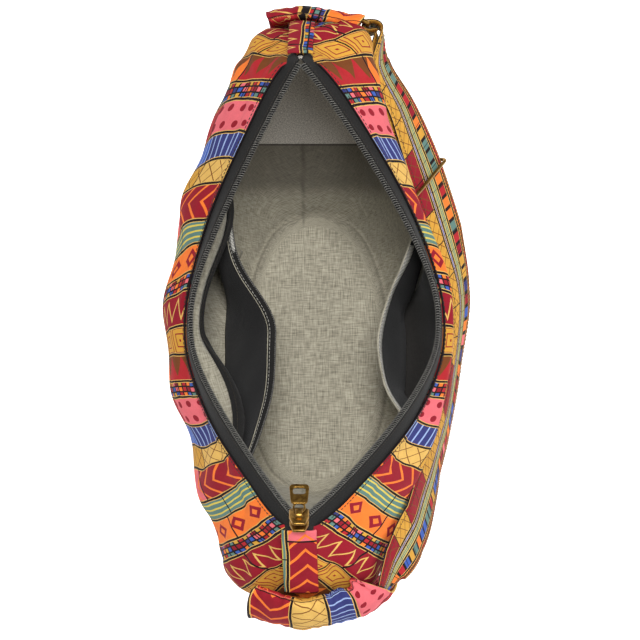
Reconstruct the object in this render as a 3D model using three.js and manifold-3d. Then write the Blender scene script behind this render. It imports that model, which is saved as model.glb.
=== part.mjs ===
// A printed canvas shoulder bag standing on its base with its zip open.
// Millimetres, +Z up, +Y along the bag to its far end, +X to the side where the strap hangs.
// The origin is the centre of the flat base.
import * as THREE from 'three';
import { mergeVertices } from 'three/addons/utils/BufferGeometryUtils.js';
import Module from 'manifold-3d';

const wasm = await Module();
wasm.setup();

// Cloth thicknesses and the gap that sewn pieces keep
const CANVAS = 1.6;
const LINING = 1.0;
const TAPE = 1.0;
const GAP = 0.5;

// The body's levels, from the base edge up to the zip. Each row is a level line round the bag: its reach
// to the far and near ends, its half width, the power of its pointed part and the share of its width that
// runs square to each end, its heights at the sides and at the ends, how far its middle and its ends lie
// off the centre line, and how far its far half leans.
const LEVEL_COLUMNS = [
  'farLength', 'nearLength', 'halfWidth', 'farTaper', 'nearTaper', 'farBlunt', 'nearBlunt',
  'zMid', 'zEnd', 'shiftMid', 'shiftEnd', 'lean',
];
const LEVELS = [
  [110, 110, 54, 2.25, 2.25, 0.48, 0.48, 0, 0, 0, 0, 0],
  [117, 117, 63, 2.15, 2.15, 0.46, 0.46, 4, 7, 0, 0, 0],
  [132, 132, 84, 1.9, 1.8, 0.42, 0.42, 21, 40, -1, -2, -2],
  [153, 154, 99, 1.55, 1.3, 0.36, 0.41, 46, 84, -3, -4, -5],
  [174, 178, 106, 1.37, 1.02, 0.32, 0.44, 73, 128, -4, -6, -8],
  [193, 197, 103, 1.24, 0.9, 0.32, 0.47, 92, 164, -3, -7, -9],
  [196, 200, 99, 1.2, 0.9, 0.34, 0.48, 101, 190, -2, -8, -8],
  [186, 186, 95, 1.2, 0.95, 0.34, 0.42, 107, 220, -1, -9, -5],
  [162, 162, 92, 1.27, 1.27, 0.19, 0.19, 111, 242, -1, -10, -1],
  [153, 153, 90, 1.3, 1.3, 0.02, 0.02, 123, 251, -1, -10, 0],
];
const RIM_LEVEL = 8;
const ZIP_LEVEL = 9;
const LINING_TOP = 7.95;
const BLUNT_POWER = 16;
const SAG_POWER = 1.2;
const LEAN_POWER = 1.2;
const SIDE_ROUNDING = 0.14;

// Folds and dents of the cloth: where each lies, how far it spreads and how far it stands out
const FOLDS = [
  { angle: 118, level: 6.2, spreadAngle: 9, spreadLevel: 1.0, height: 4 },
  { angle: 101, level: 7.2, spreadAngle: 5, spreadLevel: 0.7, height: -4 },
  { angle: 66, level: 6.6, spreadAngle: 7, spreadLevel: 0.9, height: 6 },
  { angle: 76, level: 7.4, spreadAngle: 5, spreadLevel: 0.6, height: -3.5 },
  { angle: 152, level: 4.5, spreadAngle: 9, spreadLevel: 1.4, height: -4 },
  { angle: 196, level: 5.0, spreadAngle: 11, spreadLevel: 1.2, height: 3 },
  { angle: 226, level: 5.2, spreadAngle: 9, spreadLevel: 1.2, height: -3 },
  { angle: 247, level: 6.3, spreadAngle: 8, spreadLevel: 1.0, height: 6 },
  { angle: 259, level: 7.2, spreadAngle: 4, spreadLevel: 0.7, height: -3.5 },
  { angle: 290, level: 6.6, spreadAngle: 7, spreadLevel: 0.9, height: 5 },
  { angle: 318, level: 5.2, spreadAngle: 9, spreadLevel: 1.2, height: -3 },
  { angle: 30, level: 4.8, spreadAngle: 10, spreadLevel: 1.3, height: -3 },
];
const GATHER = { height: 1.5, period: 15, reach: 46, clear: 15, level: 7.0, spread: 0.8 };

// Mouth zip
const TOOTH_RAIL = { width: 4.6, thickness: 2.8 };
const ZIP_END_CUT = 14;
const ZIP_TAB = { thickness: 1.8, lift: 0.8, farWidth: 17, nearWidth: 22, gap: 0.6, top: 8.62 };
const SLIDER = { width: 12.5, length: 17, height: 7.5, tilt: -49 };
const CROWN = { width: 4.4, height: 3.6, length: 8, wire: 1.4 };
const PULL_EYE = { wire: 1.2, play: 0.6, lift: 1.1 };
const SLIDER_SEAT = { forward: 3.2, up: 1 };
// Corners of the slider's outline, as shares of its half width and half length
const SLIDER_CORNERS = [[0.62, -1], [1, -0.2], [1, 0.75], [0.6, 1]];
const PULL = { width: 12.5, length: 21, thickness: 1.6, slotLength: 5, slotWidth: 8, eye: 6.2, droop: -30 };

// End sleeves
const CASING = { halfHeight: 23, level: 6.0, roundness: 0.75, gap: 1.7 };
const CASING_ENDS = {
  far: { from: -28, to: 17, halfThickness: 6, straight: 0.6 },
  near: { from: -36, to: 33, halfThickness: 7, straight: 0 },
};

// Strap, its ring and its adjuster
const STRAP = { thickness: 2.2, layer: 1.45, slack: 0.35, tail: 12 };
const RING = { wire: 3.5, along: 30, across: 28, outside: 14, corner: 4, inSleeve: 12 };
const SLEEVED_STRAP = { inside: 14, innerWidth: 25, mouthWidth: 27 };
const RING_STRAP = { approach: 7, approachWidth: 22, width: 19.5 };
const ADJUSTER = { wire: 2.6, inside: 45, corner: 2.6 };
const STRAP_ROUTE = [
  { x: 51.4, y: -174, z: 184, acrossX: 0.58, acrossY: -0.23, acrossZ: -0.78, width: 39 },
  { x: 66, y: -148, z: 152, acrossX: 0.4, acrossY: -0.25, acrossZ: -0.88, width: 42 },
  { x: 77, y: -118, z: 114, acrossX: 0.33, acrossY: -0.18, acrossZ: -0.93, width: 42 },
  { x: 87.3, y: -86, z: 77, acrossX: 0.22, acrossY: -0.12, acrossZ: -0.97, width: 42 },
  { x: 98, y: -50, z: 43, acrossX: 0.22, acrossY: -0.1, acrossZ: -0.97, width: 42 },
  { x: 105.5, y: -8, z: 31, acrossX: 0.28, acrossY: 0, acrossZ: -0.96, width: 42 },
  { x: 108.4, y: 34, z: 49, acrossX: 0.38, acrossY: 0.1, acrossZ: -0.92, width: 42 },
  { x: 97, y: 72, z: 78, acrossX: 0.6, acrossY: 0.18, acrossZ: -0.78, width: 42 },
  { x: 80.5, y: 110, z: 112, acrossX: 0.6, acrossY: 0.27, acrossZ: -0.75, width: 42 },
  { x: 60.5, y: 147, z: 153, acrossX: 0.5, acrossY: 0.31, acrossZ: -0.8, width: 38 },
  { x: 44, y: 173, z: 178, acrossX: 0.5, acrossY: 0.35, acrossZ: -0.79, width: 29 },
];
const ADJUSTER_STATION = 10;
const STEPS_PER_STATION = 4;

// Pockets on the lining, by the angles round the bag where they start and end
const ZIP_POCKET = { from: 148, to: 219, bottom: 1.5, top: 5.4, gape: 67, rise: -4 };
const SLIP_POCKET = { from: -25, to: 21, bottom: 1.5, top: 5.8, gape: 46, rise: 0 };
const POCKET_CLOTH = { thickness: 1.4, gap: 1.7 };
const POCKET_TAPE = { width: 5, thickness: 0.9, low: 6.7, high: 7.3, gap: 2.6 };
// The lining hangs loose above the zip pocket, most towards the near end
const LOOSE_LINING = { depth: 13, nearDepth: 33, level: 6.9, spread: 1.1, begins: 0.45, full: 0.85 };
const POCKET_SLIDER = { share: 0.88, level: 6.3, width: 6.5, length: 8, thickness: 3, lift: 5.4 };
const POCKET_CROWN = { width: 2, height: 3.5, length: 6, wire: 1.2 };
const POCKET_PULL = { width: 5.5, length: 15, thickness: 1.2, slotLength: 3, slotWidth: 3, eye: 4.5 };

const radians = THREE.MathUtils.degToRad;

// Cloth surface

function levelValue(level, column) {
  const last = LEVELS.length - 1;
  const k = LEVEL_COLUMNS.indexOf(column);
  const i = Math.min(Math.floor(Math.max(level, 0)), last - 1);
  const t = level - i;
  const at = (row) => LEVELS[THREE.MathUtils.clamp(row, 0, last)][k];
  const [a, b, c, d] = [at(i - 1), at(i), at(i + 1), at(i + 2)];
  return b + 0.5 * t * (c - a + t * (2 * a - 5 * b + 4 * c - d + t * (3 * (b - c) + d - a)));
}

// How far a share of the bag's half length counts towards its end, with the middle rounded off
function reachOf(share) {
  const rounded = (value) => Math.hypot(value, SIDE_ROUNDING) - SIDE_ROUNDING;
  return rounded(share) / rounded(1);
}

function plainPoint(angle, level) {
  const along = Math.sin(radians(angle));
  const reach = reachOf(along);
  const far = along > 0;
  const blunt = levelValue(level, far ? 'farBlunt' : 'nearBlunt');
  const pointed = 1 - reach ** levelValue(level, far ? 'farTaper' : 'nearTaper');
  const square = 1 - reach ** BLUNT_POWER;
  const width = levelValue(level, 'halfWidth') * ((1 - blunt) * pointed + blunt * square);
  const lean = far ? levelValue(level, 'lean') * Math.sin(Math.PI * reach ** LEAN_POWER) : 0;
  const shiftMid = levelValue(level, 'shiftMid');
  const shift = THREE.MathUtils.lerp(shiftMid, levelValue(level, 'shiftEnd'), reach ** 2);
  const side = Math.cos(radians(angle)) < 0 ? -1 : 1;
  return new THREE.Vector3(
    side * width + shift + lean,
    along * levelValue(level, far ? 'farLength' : 'nearLength'),
    THREE.MathUtils.lerp(levelValue(level, 'zMid'), levelValue(level, 'zEnd'), reach ** SAG_POWER),
  );
}

function normalOf(point, angle, level) {
  const angleStep = 1.5;
  const low = Math.max(level - 0.05, 0);
  const high = Math.min(level + 0.05, ZIP_LEVEL);
  const around = point(angle + angleStep, level).sub(point(angle - angleStep, level));
  const upward = point(angle, high).sub(point(angle, low));
  return around.cross(upward).normalize();
}

function bump(distance, spread) {
  return Math.exp(-((distance / spread) ** 2));
}

function foldHeight(angle, level) {
  const turn = ((angle % 360) + 360) % 360;
  let height = 0;
  for (const fold of FOLDS) {
    const away = Math.abs(turn - fold.angle);
    const near = Math.min(away, 360 - away);
    height += fold.height * bump(near, fold.spreadAngle) * bump(level - fold.level, fold.spreadLevel);
  }
  const x = Math.abs(plainPoint(angle, level).x - levelValue(level, 'shiftEnd'));
  if (Math.abs(Math.cos(radians(angle))) < 0.8 && x > GATHER.clear && x < GATHER.reach) {
    const wave = 1 - Math.cos((2 * Math.PI * (x - GATHER.clear)) / GATHER.period);
    height -= GATHER.height * wave * bump(level - GATHER.level, GATHER.spread);
  }
  return height * THREE.MathUtils.smoothstep(level, 0, 1) * (1 - THREE.MathUtils.smoothstep(level, 7.6, 8));
}

function clothPoint(angle, level) {
  const point = plainPoint(angle, level);
  return point.addScaledVector(normalOf(plainPoint, angle, level), foldHeight(angle, level));
}

// How far a pocket stands open at a share of its width
function openingAt(share) {
  return Math.sin(Math.PI * THREE.MathUtils.clamp(share, 0, 1)) ** 1.2;
}

function looseness(angle, level) {
  const turn = ((angle % 360) + 360) % 360;
  const share = (turn - ZIP_POCKET.from) / (ZIP_POCKET.to - ZIP_POCKET.from);
  const grown = THREE.MathUtils.smoothstep(share, LOOSE_LINING.begins, LOOSE_LINING.full);
  const depth = (LOOSE_LINING.depth + LOOSE_LINING.nearDepth * grown) * openingAt(share);
  return depth * bump(level - LOOSE_LINING.level, LOOSE_LINING.spread);
}

function inside(angle, level, depth) {
  const point = clothPoint(angle, level);
  return point.addScaledVector(normalOf(clothPoint, angle, level), -depth);
}

// Closed solids

function solidFrom(points, triangles) {
  const at = (i) => points[i];
  let volume = 0;
  for (const [a, b, c] of triangles) {
    volume += at(a).dot(at(b).clone().cross(at(c)));
  }
  const index = triangles.flatMap(([a, b, c]) => (volume > 0 ? [a, b, c] : [a, c, b]));
  const geometry = new THREE.BufferGeometry();
  geometry.setAttribute('position', new THREE.Float32BufferAttribute(points.flatMap((p) => p.toArray()), 3));
  geometry.setIndex(index);
  geometry.computeVertexNormals();
  return geometry;
}

// A sheet with two skins: point(i, j, skin) for i along it and j across it. A wrapped sheet closes on
// itself along i, and a floored one has its lowest row closed by a flat panel.
function sheetSolid({ along, across, wrapped = false, floored = false, point }) {
  const columns = wrapped ? along : along + 1;
  const rows = across + 1;
  const points = [];
  for (let skin = 0; skin < 2; skin += 1) {
    for (let j = 0; j < rows; j += 1) {
      for (let i = 0; i < columns; i += 1) {
        points.push(point(i, j, skin));
      }
    }
  }
  const at = (i, j, skin) => (skin * rows + j) * columns + (i % columns);
  const triangles = [];
  const quad = (a, b, c, d) => triangles.push([a, b, c], [a, c, d]);
  for (let i = 0; i < along; i += 1) {
    for (let j = 0; j < across; j += 1) {
      quad(at(i, j, 0), at(i + 1, j, 0), at(i + 1, j + 1, 0), at(i, j + 1, 0));
      quad(at(i + 1, j + 1, 1), at(i + 1, j, 1), at(i, j, 1), at(i, j + 1, 1));
    }
    quad(at(i, across, 0), at(i + 1, across, 0), at(i + 1, across, 1), at(i, across, 1));
    if (!floored) {
      quad(at(i, 0, 1), at(i + 1, 0, 1), at(i + 1, 0, 0), at(i, 0, 0));
    }
  }
  if (!wrapped) {
    for (let j = 0; j < across; j += 1) {
      quad(at(0, j, 0), at(0, j + 1, 0), at(0, j + 1, 1), at(0, j, 1));
      quad(at(along, j, 1), at(along, j + 1, 1), at(along, j + 1, 0), at(along, j, 0));
    }
  }
  if (floored) {
    for (let i = 0; i < along / 2; i += 1) {
      const mirror = along - i;
      triangles.push([at(i + 1, 0, 0), at(i, 0, 0), at(mirror - 1, 0, 0)]);
      triangles.push([at(i, 0, 1), at(i + 1, 0, 1), at(mirror - 1, 0, 1)]);
      if (i > 0) {
        triangles.push([at(i, 0, 0), at(mirror, 0, 0), at(mirror - 1, 0, 0)]);
        triangles.push([at(i, 0, 1), at(mirror - 1, 0, 1), at(mirror, 0, 1)]);
      }
    }
  }
  const kept = triangles.filter(([a, b, c]) => a !== b && b !== c && c !== a);
  return solidFrom(points, kept);
}

// A wire of round section along a closed loop of points
function wireLoop(route, wire, sides = 7) {
  const points = [];
  const triangles = [];
  const count = route.length;
  const centre = route.reduce((sum, p) => sum.add(p), new THREE.Vector3()).divideScalar(count);
  const start = route[0].clone().sub(centre);
  const plane = start.cross(route[Math.floor(count / 4)].clone().sub(centre)).normalize();
  route.forEach((p, i) => {
    const tangent = route[(i + 1) % count].clone().sub(route[(i + count - 1) % count]).normalize();
    const outward = tangent.clone().cross(plane);
    for (let k = 0; k < sides; k += 1) {
      const turn = (2 * Math.PI * k) / sides;
      const offset = outward.clone().multiplyScalar(Math.cos(turn)).addScaledVector(plane, Math.sin(turn));
      points.push(p.clone().addScaledVector(offset, wire / 2));
      const next = (k + 1) % sides;
      const ahead = (i + 1) % count;
      triangles.push([i * sides + k, ahead * sides + k, ahead * sides + next]);
      triangles.push([i * sides + k, ahead * sides + next, i * sides + next]);
    }
  });
  return solidFrom(points, triangles);
}

function roundedRectangle(width, height, corner, steps = 4) {
  const points = [];
  for (let k = 0; k < 4; k += 1) {
    const cx = (k === 0 || k === 3 ? 1 : -1) * (width / 2 - corner);
    const cy = (k < 2 ? 1 : -1) * (height / 2 - corner);
    for (let s = 0; s <= steps; s += 1) {
      const turn = (Math.PI / 2) * (k + s / steps);
      points.push(new THREE.Vector2(cx + corner * Math.cos(turn), cy + corner * Math.sin(turn)));
    }
  }
  return points;
}

function manifoldOf(geometry) {
  const bare = geometry.clone();
  bare.deleteAttribute('normal');
  bare.deleteAttribute('uv');
  const merged = mergeVertices(bare, 1e-4);
  return new wasm.Manifold(new wasm.Mesh({
    numProp: 3,
    vertProperties: new Float32Array(merged.attributes.position.array),
    triVerts: new Uint32Array(merged.index.array),
  }));
}

function geometryOf(solid) {
  const mesh = solid.getMesh();
  const geometry = new THREE.BufferGeometry();
  geometry.setAttribute('position', new THREE.Float32BufferAttribute(mesh.vertProperties, 3));
  geometry.setIndex(Array.from(mesh.triVerts));
  geometry.computeVertexNormals();
  return geometry;
}

function joined(...geometries) {
  return geometryOf(geometries.map(manifoldOf).reduce((sum, next) => sum.add(next)));
}

function cut(geometry, tools) {
  return geometryOf(tools.map(manifoldOf).reduce((left, tool) => left.subtract(tool), manifoldOf(geometry)));
}

function plate(outline, thickness, holes = []) {
  const shape = new THREE.Shape(outline);
  shape.holes = holes.map((hole) => new THREE.Path(hole));
  return new THREE.ExtrudeGeometry(shape, { depth: thickness, bevelEnabled: false, curveSegments: 6 });
}

// The bag's nodes
const bag = new THREE.Group();

const MATERIALS = {
  print: { color: 0xb5452f, roughness: 0.85, metalness: 0 },
  chambray: { color: 0x96918a, roughness: 0.9, metalness: 0 },
  tape: { color: 0x26262a, roughness: 0.8, metalness: 0 },
  teeth: { color: 0x17171a, roughness: 0.45, metalness: 0 },
  brass: { color: 0x9c7a3c, roughness: 0.35, metalness: 1 },
};

function add(name, geometry, material, parent = bag) {
  const mesh = new THREE.Mesh(geometry, new THREE.MeshStandardMaterial(MATERIALS[material]));
  mesh.name = name;
  parent.add(mesh);
  return mesh;
}

// Body and lining

function bagSkin({ top, outerDepth, innerDepth, floor, loose = () => 0 }) {
  const around = 60;
  const rows = 12;
  const wall = innerDepth - outerDepth;
  return sheetSolid({
    along: around,
    across: rows,
    wrapped: true,
    floored: true,
    point: (i, j, skin) => {
      const depth = skin === 0 ? outerDepth : innerDepth;
      const level = j === rows ? top : (RIM_LEVEL * j) / rows;
      const angle = -90 + (360 * i) / around;
      const p = inside(angle, level, depth + loose(angle, level));
      if (j === 0) {
        p.z = floor + (skin === 0 ? 0 : wall);
      }
      return p;
    },
  });
}

const liningOuter = CANVAS + GAP;
const liningInner = liningOuter + LINING;
add('body_shell', bagSkin({
  top: RIM_LEVEL, outerDepth: 0, innerDepth: CANVAS, floor: 0,
}), 'print');
add('lining', bagSkin({
  top: LINING_TOP, outerDepth: liningOuter, innerDepth: liningInner, floor: liningOuter, loose: looseness,
}), 'chambray');

// Mouth zip: tapes and teeth on both sides

function zipAngle(side, share, clearance) {
  const endCut = ZIP_END_CUT - 4 * clearance;
  const turn = THREE.MathUtils.lerp(-90 + endCut, 90 - endCut, share);
  return side > 0 ? turn : 180 - turn;
}

function upTheCloth(angle, level) {
  return plainPoint(angle, level).sub(plainPoint(angle, level - 0.1)).normalize();
}

// A tape of the mouth zip, or the room that it needs with a clearance round it
function zipTape(side, clearance = 0) {
  const steps = 28;
  const rows = 2;
  return sheetSolid({
    along: steps,
    across: rows,
    point: (i, j, skin) => {
      const angle = zipAngle(side, i / steps, clearance);
      const level = THREE.MathUtils.lerp(RIM_LEVEL, ZIP_LEVEL, j / rows);
      const depth = skin === 0 ? clearance : -TAPE - clearance;
      const p = plainPoint(angle, level).addScaledVector(normalOf(plainPoint, angle, level), depth);
      const trim = j === 0 ? GAP - clearance : (j === rows ? clearance : 0);
      return p.addScaledVector(upTheCloth(angle, Math.max(level, RIM_LEVEL + 0.1)), trim);
    },
  });
}

function zipTeeth(side, clearance = 0) {
  const steps = 28;
  return sheetSolid({
    along: steps,
    across: 1,
    point: (i, j, skin) => {
      const angle = zipAngle(side, i / steps, clearance);
      const normal = normalOf(plainPoint, angle, ZIP_LEVEL);
      const halfThickness = TOOTH_RAIL.thickness / 2 + clearance;
      const p = plainPoint(angle, ZIP_LEVEL).addScaledVector(normal, -TAPE / 2);
      p.addScaledVector(normal, skin === 0 ? halfThickness : -halfThickness);
      const reach = j === 0 ? GAP - clearance : GAP + TOOTH_RAIL.width + clearance;
      return p.addScaledVector(upTheCloth(angle, ZIP_LEVEL), reach);
    },
  });
}

for (const [name, side] of [['left', -1], ['right', 1]]) {
  add(`zip_tape_${name}`, zipTape(side), 'tape');
  add(`zip_teeth_${name}`, zipTeeth(side), 'teeth');
}

// End sleeves, which hug the body from outside

// The level that lies a distance up the cloth from a level, or down for a negative distance
function climb(angle, level, distance) {
  const step = 0.02 * Math.sign(distance);
  let reached = level;
  let travelled = 0;
  while (travelled < Math.abs(distance) && reached + step > 0 && reached + step < ZIP_LEVEL) {
    travelled += plainPoint(angle, reached).distanceTo(plainPoint(angle, reached + step));
    reached += step;
  }
  return reached;
}

// The angle round the bag where the level line reaches x, at the far end (1) or the near end (-1)
function angleAtX(x, level, end) {
  const side = x < levelValue(level, 'shiftEnd') ? -1 : 1;
  let low = 20;
  let high = 90;
  for (let step = 0; step < 40; step += 1) {
    const middle = (low + high) / 2;
    const turn = side > 0 ? end * middle : 180 - end * middle;
    const wide = side * (plainPoint(turn, level).x - x) > 0;
    if (wide) {
      low = middle;
    } else {
      high = middle;
    }
  }
  return side > 0 ? end * low : 180 - end * low;
}

// A point of a sleeve: turn goes round its flattened section, and depth is how far inside its wall
function casingPoint(x, end, turn, depth, swell = 1) {
  const angle = angleAtX(x, CASING.level, end);
  const flat = (value) => Math.sign(value) * Math.abs(value) ** CASING.roundness;
  const sleeve = end > 0 ? CASING_ENDS.far : CASING_ENDS.near;
  const halfThickness = sleeve.halfThickness * swell;
  const height = (CASING.halfHeight - depth) * flat(Math.cos(turn));
  const out = halfThickness + (halfThickness - depth) * flat(Math.sin(turn)) + CASING.gap;
  const level = climb(angle, CASING.level, height);
  const folds = Math.max(foldHeight(angle, level), 0);
  const hugging = plainPoint(angle, level).addScaledVector(normalOf(plainPoint, angle, level), out + folds);
  const crest = 90 * end;
  const crestLevel = climb(crest, CASING.level, height);
  const crestNormal = normalOf(plainPoint, crest, crestLevel);
  const straight = plainPoint(crest, crestLevel).addScaledVector(crestNormal, out);
  straight.x = hugging.x;
  return hugging.lerp(straight, sleeve.straight);
}

const NEAR_MOUTH_SWELL = 1.25;

function casingSwell(end, share) {
  return end < 0 ? THREE.MathUtils.lerp(1, NEAR_MOUTH_SWELL, share ** 3) : 1;
}

for (const [name, end] of [['far', 1], ['near', -1]]) {
  const { from, to } = CASING_ENDS[name];
  const sides = 14;
  const steps = 8;
  add(`casing_${name}`, sheetSolid({
    along: sides,
    across: steps,
    wrapped: true,
    point: (i, j, skin) => {
      const share = j / steps;
      const x = THREE.MathUtils.lerp(from, to, share);
      const turn = (2 * Math.PI * i) / sides;
      return casingPoint(x, end, turn, skin === 0 ? 0 : CANVAS, casingSwell(end, share));
    },
  }), 'print');
}

function casingCentre(x, end) {
  const outer = casingPoint(x, end, Math.PI / 2, CANVAS);
  return outer.add(casingPoint(x, end, -Math.PI / 2, CANVAS)).multiplyScalar(0.5);
}

// Tabs over the zip ends: strips of cloth from the zip down to the sleeves

for (const [name, end, width] of [['far', 1, ZIP_TAB.farWidth], ['near', -1, ZIP_TAB.nearWidth]]) {
  const columns = 4;
  const rows = 5;
  const crest = 90 * end;
  const bottom = climb(crest, CASING.level, CASING.halfHeight + ZIP_TAB.gap);
  add(`zip_tab_${name}`, sheetSolid({
    along: columns,
    across: rows,
    point: (i, j, skin) => {
      const level = THREE.MathUtils.lerp(bottom, ZIP_TAB.top, j / rows);
      const lift = ZIP_TAB.lift + (skin === 0 ? ZIP_TAB.thickness : 0);
      const p = plainPoint(crest, level).addScaledVector(normalOf(plainPoint, crest, level), lift);
      p.x += (i / columns - 0.5) * width;
      return p;
    },
  }), 'print');
}

// Slider and pull of the mouth zip, at the near end of the zip

const zipEnd = plainPoint(-90, ZIP_LEVEL);
const sliderGroup = new THREE.Group();
sliderGroup.position.set(zipEnd.x, zipEnd.y + SLIDER_SEAT.forward, zipEnd.z + SLIDER_SEAT.up);
sliderGroup.rotation.x = radians(SLIDER.tilt);
bag.add(sliderGroup);

function sliderOutline() {
  const corner = ([x, y]) => new THREE.Vector2((x * SLIDER.width) / 2, (y * SLIDER.length) / 2);
  const right = SLIDER_CORNERS.map(corner);
  const left = SLIDER_CORNERS.map(([x, y]) => corner([-x, y])).reverse();
  return [...right, ...left];
}

function block(width, length, height, x, y, z) {
  return new THREE.BoxGeometry(width, length, height).translate(x, y, z);
}

// The bridge on top of a slider that holds its pull, from the slider's top face up
function crownParts(crown, base) {
  const sunk = 1;
  const leg = crown.height + sunk;
  const legs = [-1, 1].map((end) => block(
    crown.width, crown.wire, leg, 0, (end * (crown.length - crown.wire)) / 2, base - sunk + leg / 2,
  ));
  const bar = block(crown.width, crown.length, crown.wire, 0, 0, base + crown.height - crown.wire / 2);
  return [...legs, bar];
}

const sliderTop = SLIDER.height / 2;
const sliderBody = plate(sliderOutline(), SLIDER.height).translate(0, 0, -sliderTop);
const sliderBlock = joined(sliderBody, ...crownParts(CROWN, sliderTop));
sliderGroup.updateMatrixWorld(true);
const toSlider = sliderGroup.matrixWorld.clone().invert();
const channels = [-1, 1].flatMap((side) => [zipTape(side, GAP), zipTeeth(side, GAP)]);
const sliderTools = channels.map((geometry) => geometry.applyMatrix4(toSlider));
add('zip_slider', cut(sliderBlock, sliderTools), 'brass', sliderGroup);

// The pull's eye is a bar that runs across under the crown
const pullGroup = new THREE.Group();
pullGroup.position.set(0, CROWN.length / 2 - CROWN.wire - PULL_EYE.wire, sliderTop + PULL_EYE.lift);
pullGroup.rotation.x = radians(PULL.droop - SLIDER.tilt);
sliderGroup.add(pullGroup);

function pullSolid(pull, crown) {
  const { wire } = PULL_EYE;
  const eyeWidth = crown.width + 2 * PULL_EYE.play;
  const outline = roundedRectangle(pull.width, pull.length - pull.eye, pull.width / 5).map(
    (p) => new THREE.Vector2(p.x, p.y + (pull.length + pull.eye) / 2),
  );
  const slot = roundedRectangle(pull.slotWidth, pull.slotLength, pull.slotLength / 3).map(
    (p) => new THREE.Vector2(p.x, p.y + pull.length - pull.slotLength),
  ).reverse();
  const tab = plate(outline, pull.thickness, [slot]).translate(0, 0, -pull.thickness / 2);
  const arms = [-1, 1].map((side) => block(
    wire, pull.eye + 1, pull.thickness, (side * (eyeWidth + wire)) / 2, pull.eye / 2, 0,
  ));
  const bar = block(eyeWidth + 2 * wire, wire, pull.thickness, 0, 0, 0);
  return joined(tab, ...arms, bar);
}

add('zip_pull', pullSolid(PULL, CROWN), 'brass', pullGroup);

// Ring in the far sleeve's right end: its flat loop lies in the sleeve and its outer side holds the strap

const ringX = CASING_ENDS.far.to;
const ringSeat = casingCentre(ringX, 1);
const ringOut = ringSeat.clone().sub(casingCentre(ringX - RING.inSleeve, 1)).normalize();
const sleeveDown = casingPoint(ringX, 1, Math.PI, 0).sub(casingPoint(ringX, 1, 0, 0)).normalize();
const ringCentre = ringSeat.clone().addScaledVector(ringOut, RING.outside - RING.along / 2);
const ringBar = ringSeat.clone().addScaledVector(ringOut, RING.outside);
add('strap_ring', wireLoop(roundedRectangle(RING.along, RING.across, RING.corner).map(
  (p) => ringCentre.clone().addScaledVector(ringOut, p.x).addScaledVector(sleeveDown, p.y),
), RING.wire), 'brass');

// Strap: from inside the near sleeve along the bag's right side, through the adjuster, round the ring
// and back under itself to the adjuster's lower bar

function stationAt(point, across, width) {
  return { point, across: across.clone().normalize(), width };
}

function sleeveAcross(x, end) {
  return casingPoint(x, end, Math.PI, 0).sub(casingPoint(x, end, 0, 0));
}

const nearX = CASING_ENDS.near.to;
const innerX = nearX - SLEEVED_STRAP.inside;
const ringApproach = ringBar.clone().addScaledVector(ringOut, RING_STRAP.approach);
const stations = [
  stationAt(casingCentre(innerX, -1), sleeveAcross(innerX, -1), SLEEVED_STRAP.innerWidth),
  stationAt(casingCentre(nearX, -1), sleeveAcross(nearX, -1), SLEEVED_STRAP.mouthWidth),
  ...STRAP_ROUTE.map((row) => stationAt(
    new THREE.Vector3(row.x, row.y, row.z),
    new THREE.Vector3(row.acrossX, row.acrossY, row.acrossZ),
    row.width,
  )),
  stationAt(ringApproach, sleeveDown, RING_STRAP.approachWidth),
  stationAt(ringBar, sleeveDown, RING_STRAP.width),
];
const lastStation = stations.length - 1;
const strapCurve = new THREE.CatmullRomCurve3(stations.map((row) => row.point), false, 'centripetal');

// The strap's frame at a station: tangent along it, across to its outer edge and face away from the bag
function strapFrame(station) {
  if (station === lastStation) {
    const { point, across, width } = stations[lastStation];
    const tangent = ringOut.clone().negate();
    return { point, tangent, across, width, face: across.clone().cross(tangent) };
  }
  const t = THREE.MathUtils.clamp(station / lastStation, 0, 1);
  const point = strapCurve.getPoint(t);
  const tangent = strapCurve.getTangent(t);
  const i = Math.min(Math.floor(station), lastStation - 1);
  const blend = station - i;
  const across = stations[i].across.clone().lerp(stations[i + 1].across, blend);
  across.addScaledVector(tangent, -across.dot(tangent)).normalize();
  const width = THREE.MathUtils.lerp(stations[i].width, stations[i + 1].width, blend);
  return { point, tangent, across, width, face: across.clone().cross(tangent) };
}

function strapPoint(frame, faceOffset, alongOffset = 0) {
  const point = frame.point.clone().addScaledVector(frame.face, faceOffset);
  point.addScaledVector(frame.tangent, alongOffset);
  return { point, across: frame.across, width: frame.width };
}

const ringLoop = RING.wire / 2 + STRAP.slack + STRAP.thickness / 2;
const adjusterLoop = ADJUSTER.wire / 2 + STRAP.slack + STRAP.thickness / 2;
const adjusterBar = STRAP.layer + adjusterLoop;

function layerOffset(station) {
  const nearRing = THREE.MathUtils.smoothstep(station, lastStation - 2, lastStation);
  return THREE.MathUtils.lerp(STRAP.layer, ringLoop, nearRing);
}

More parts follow.
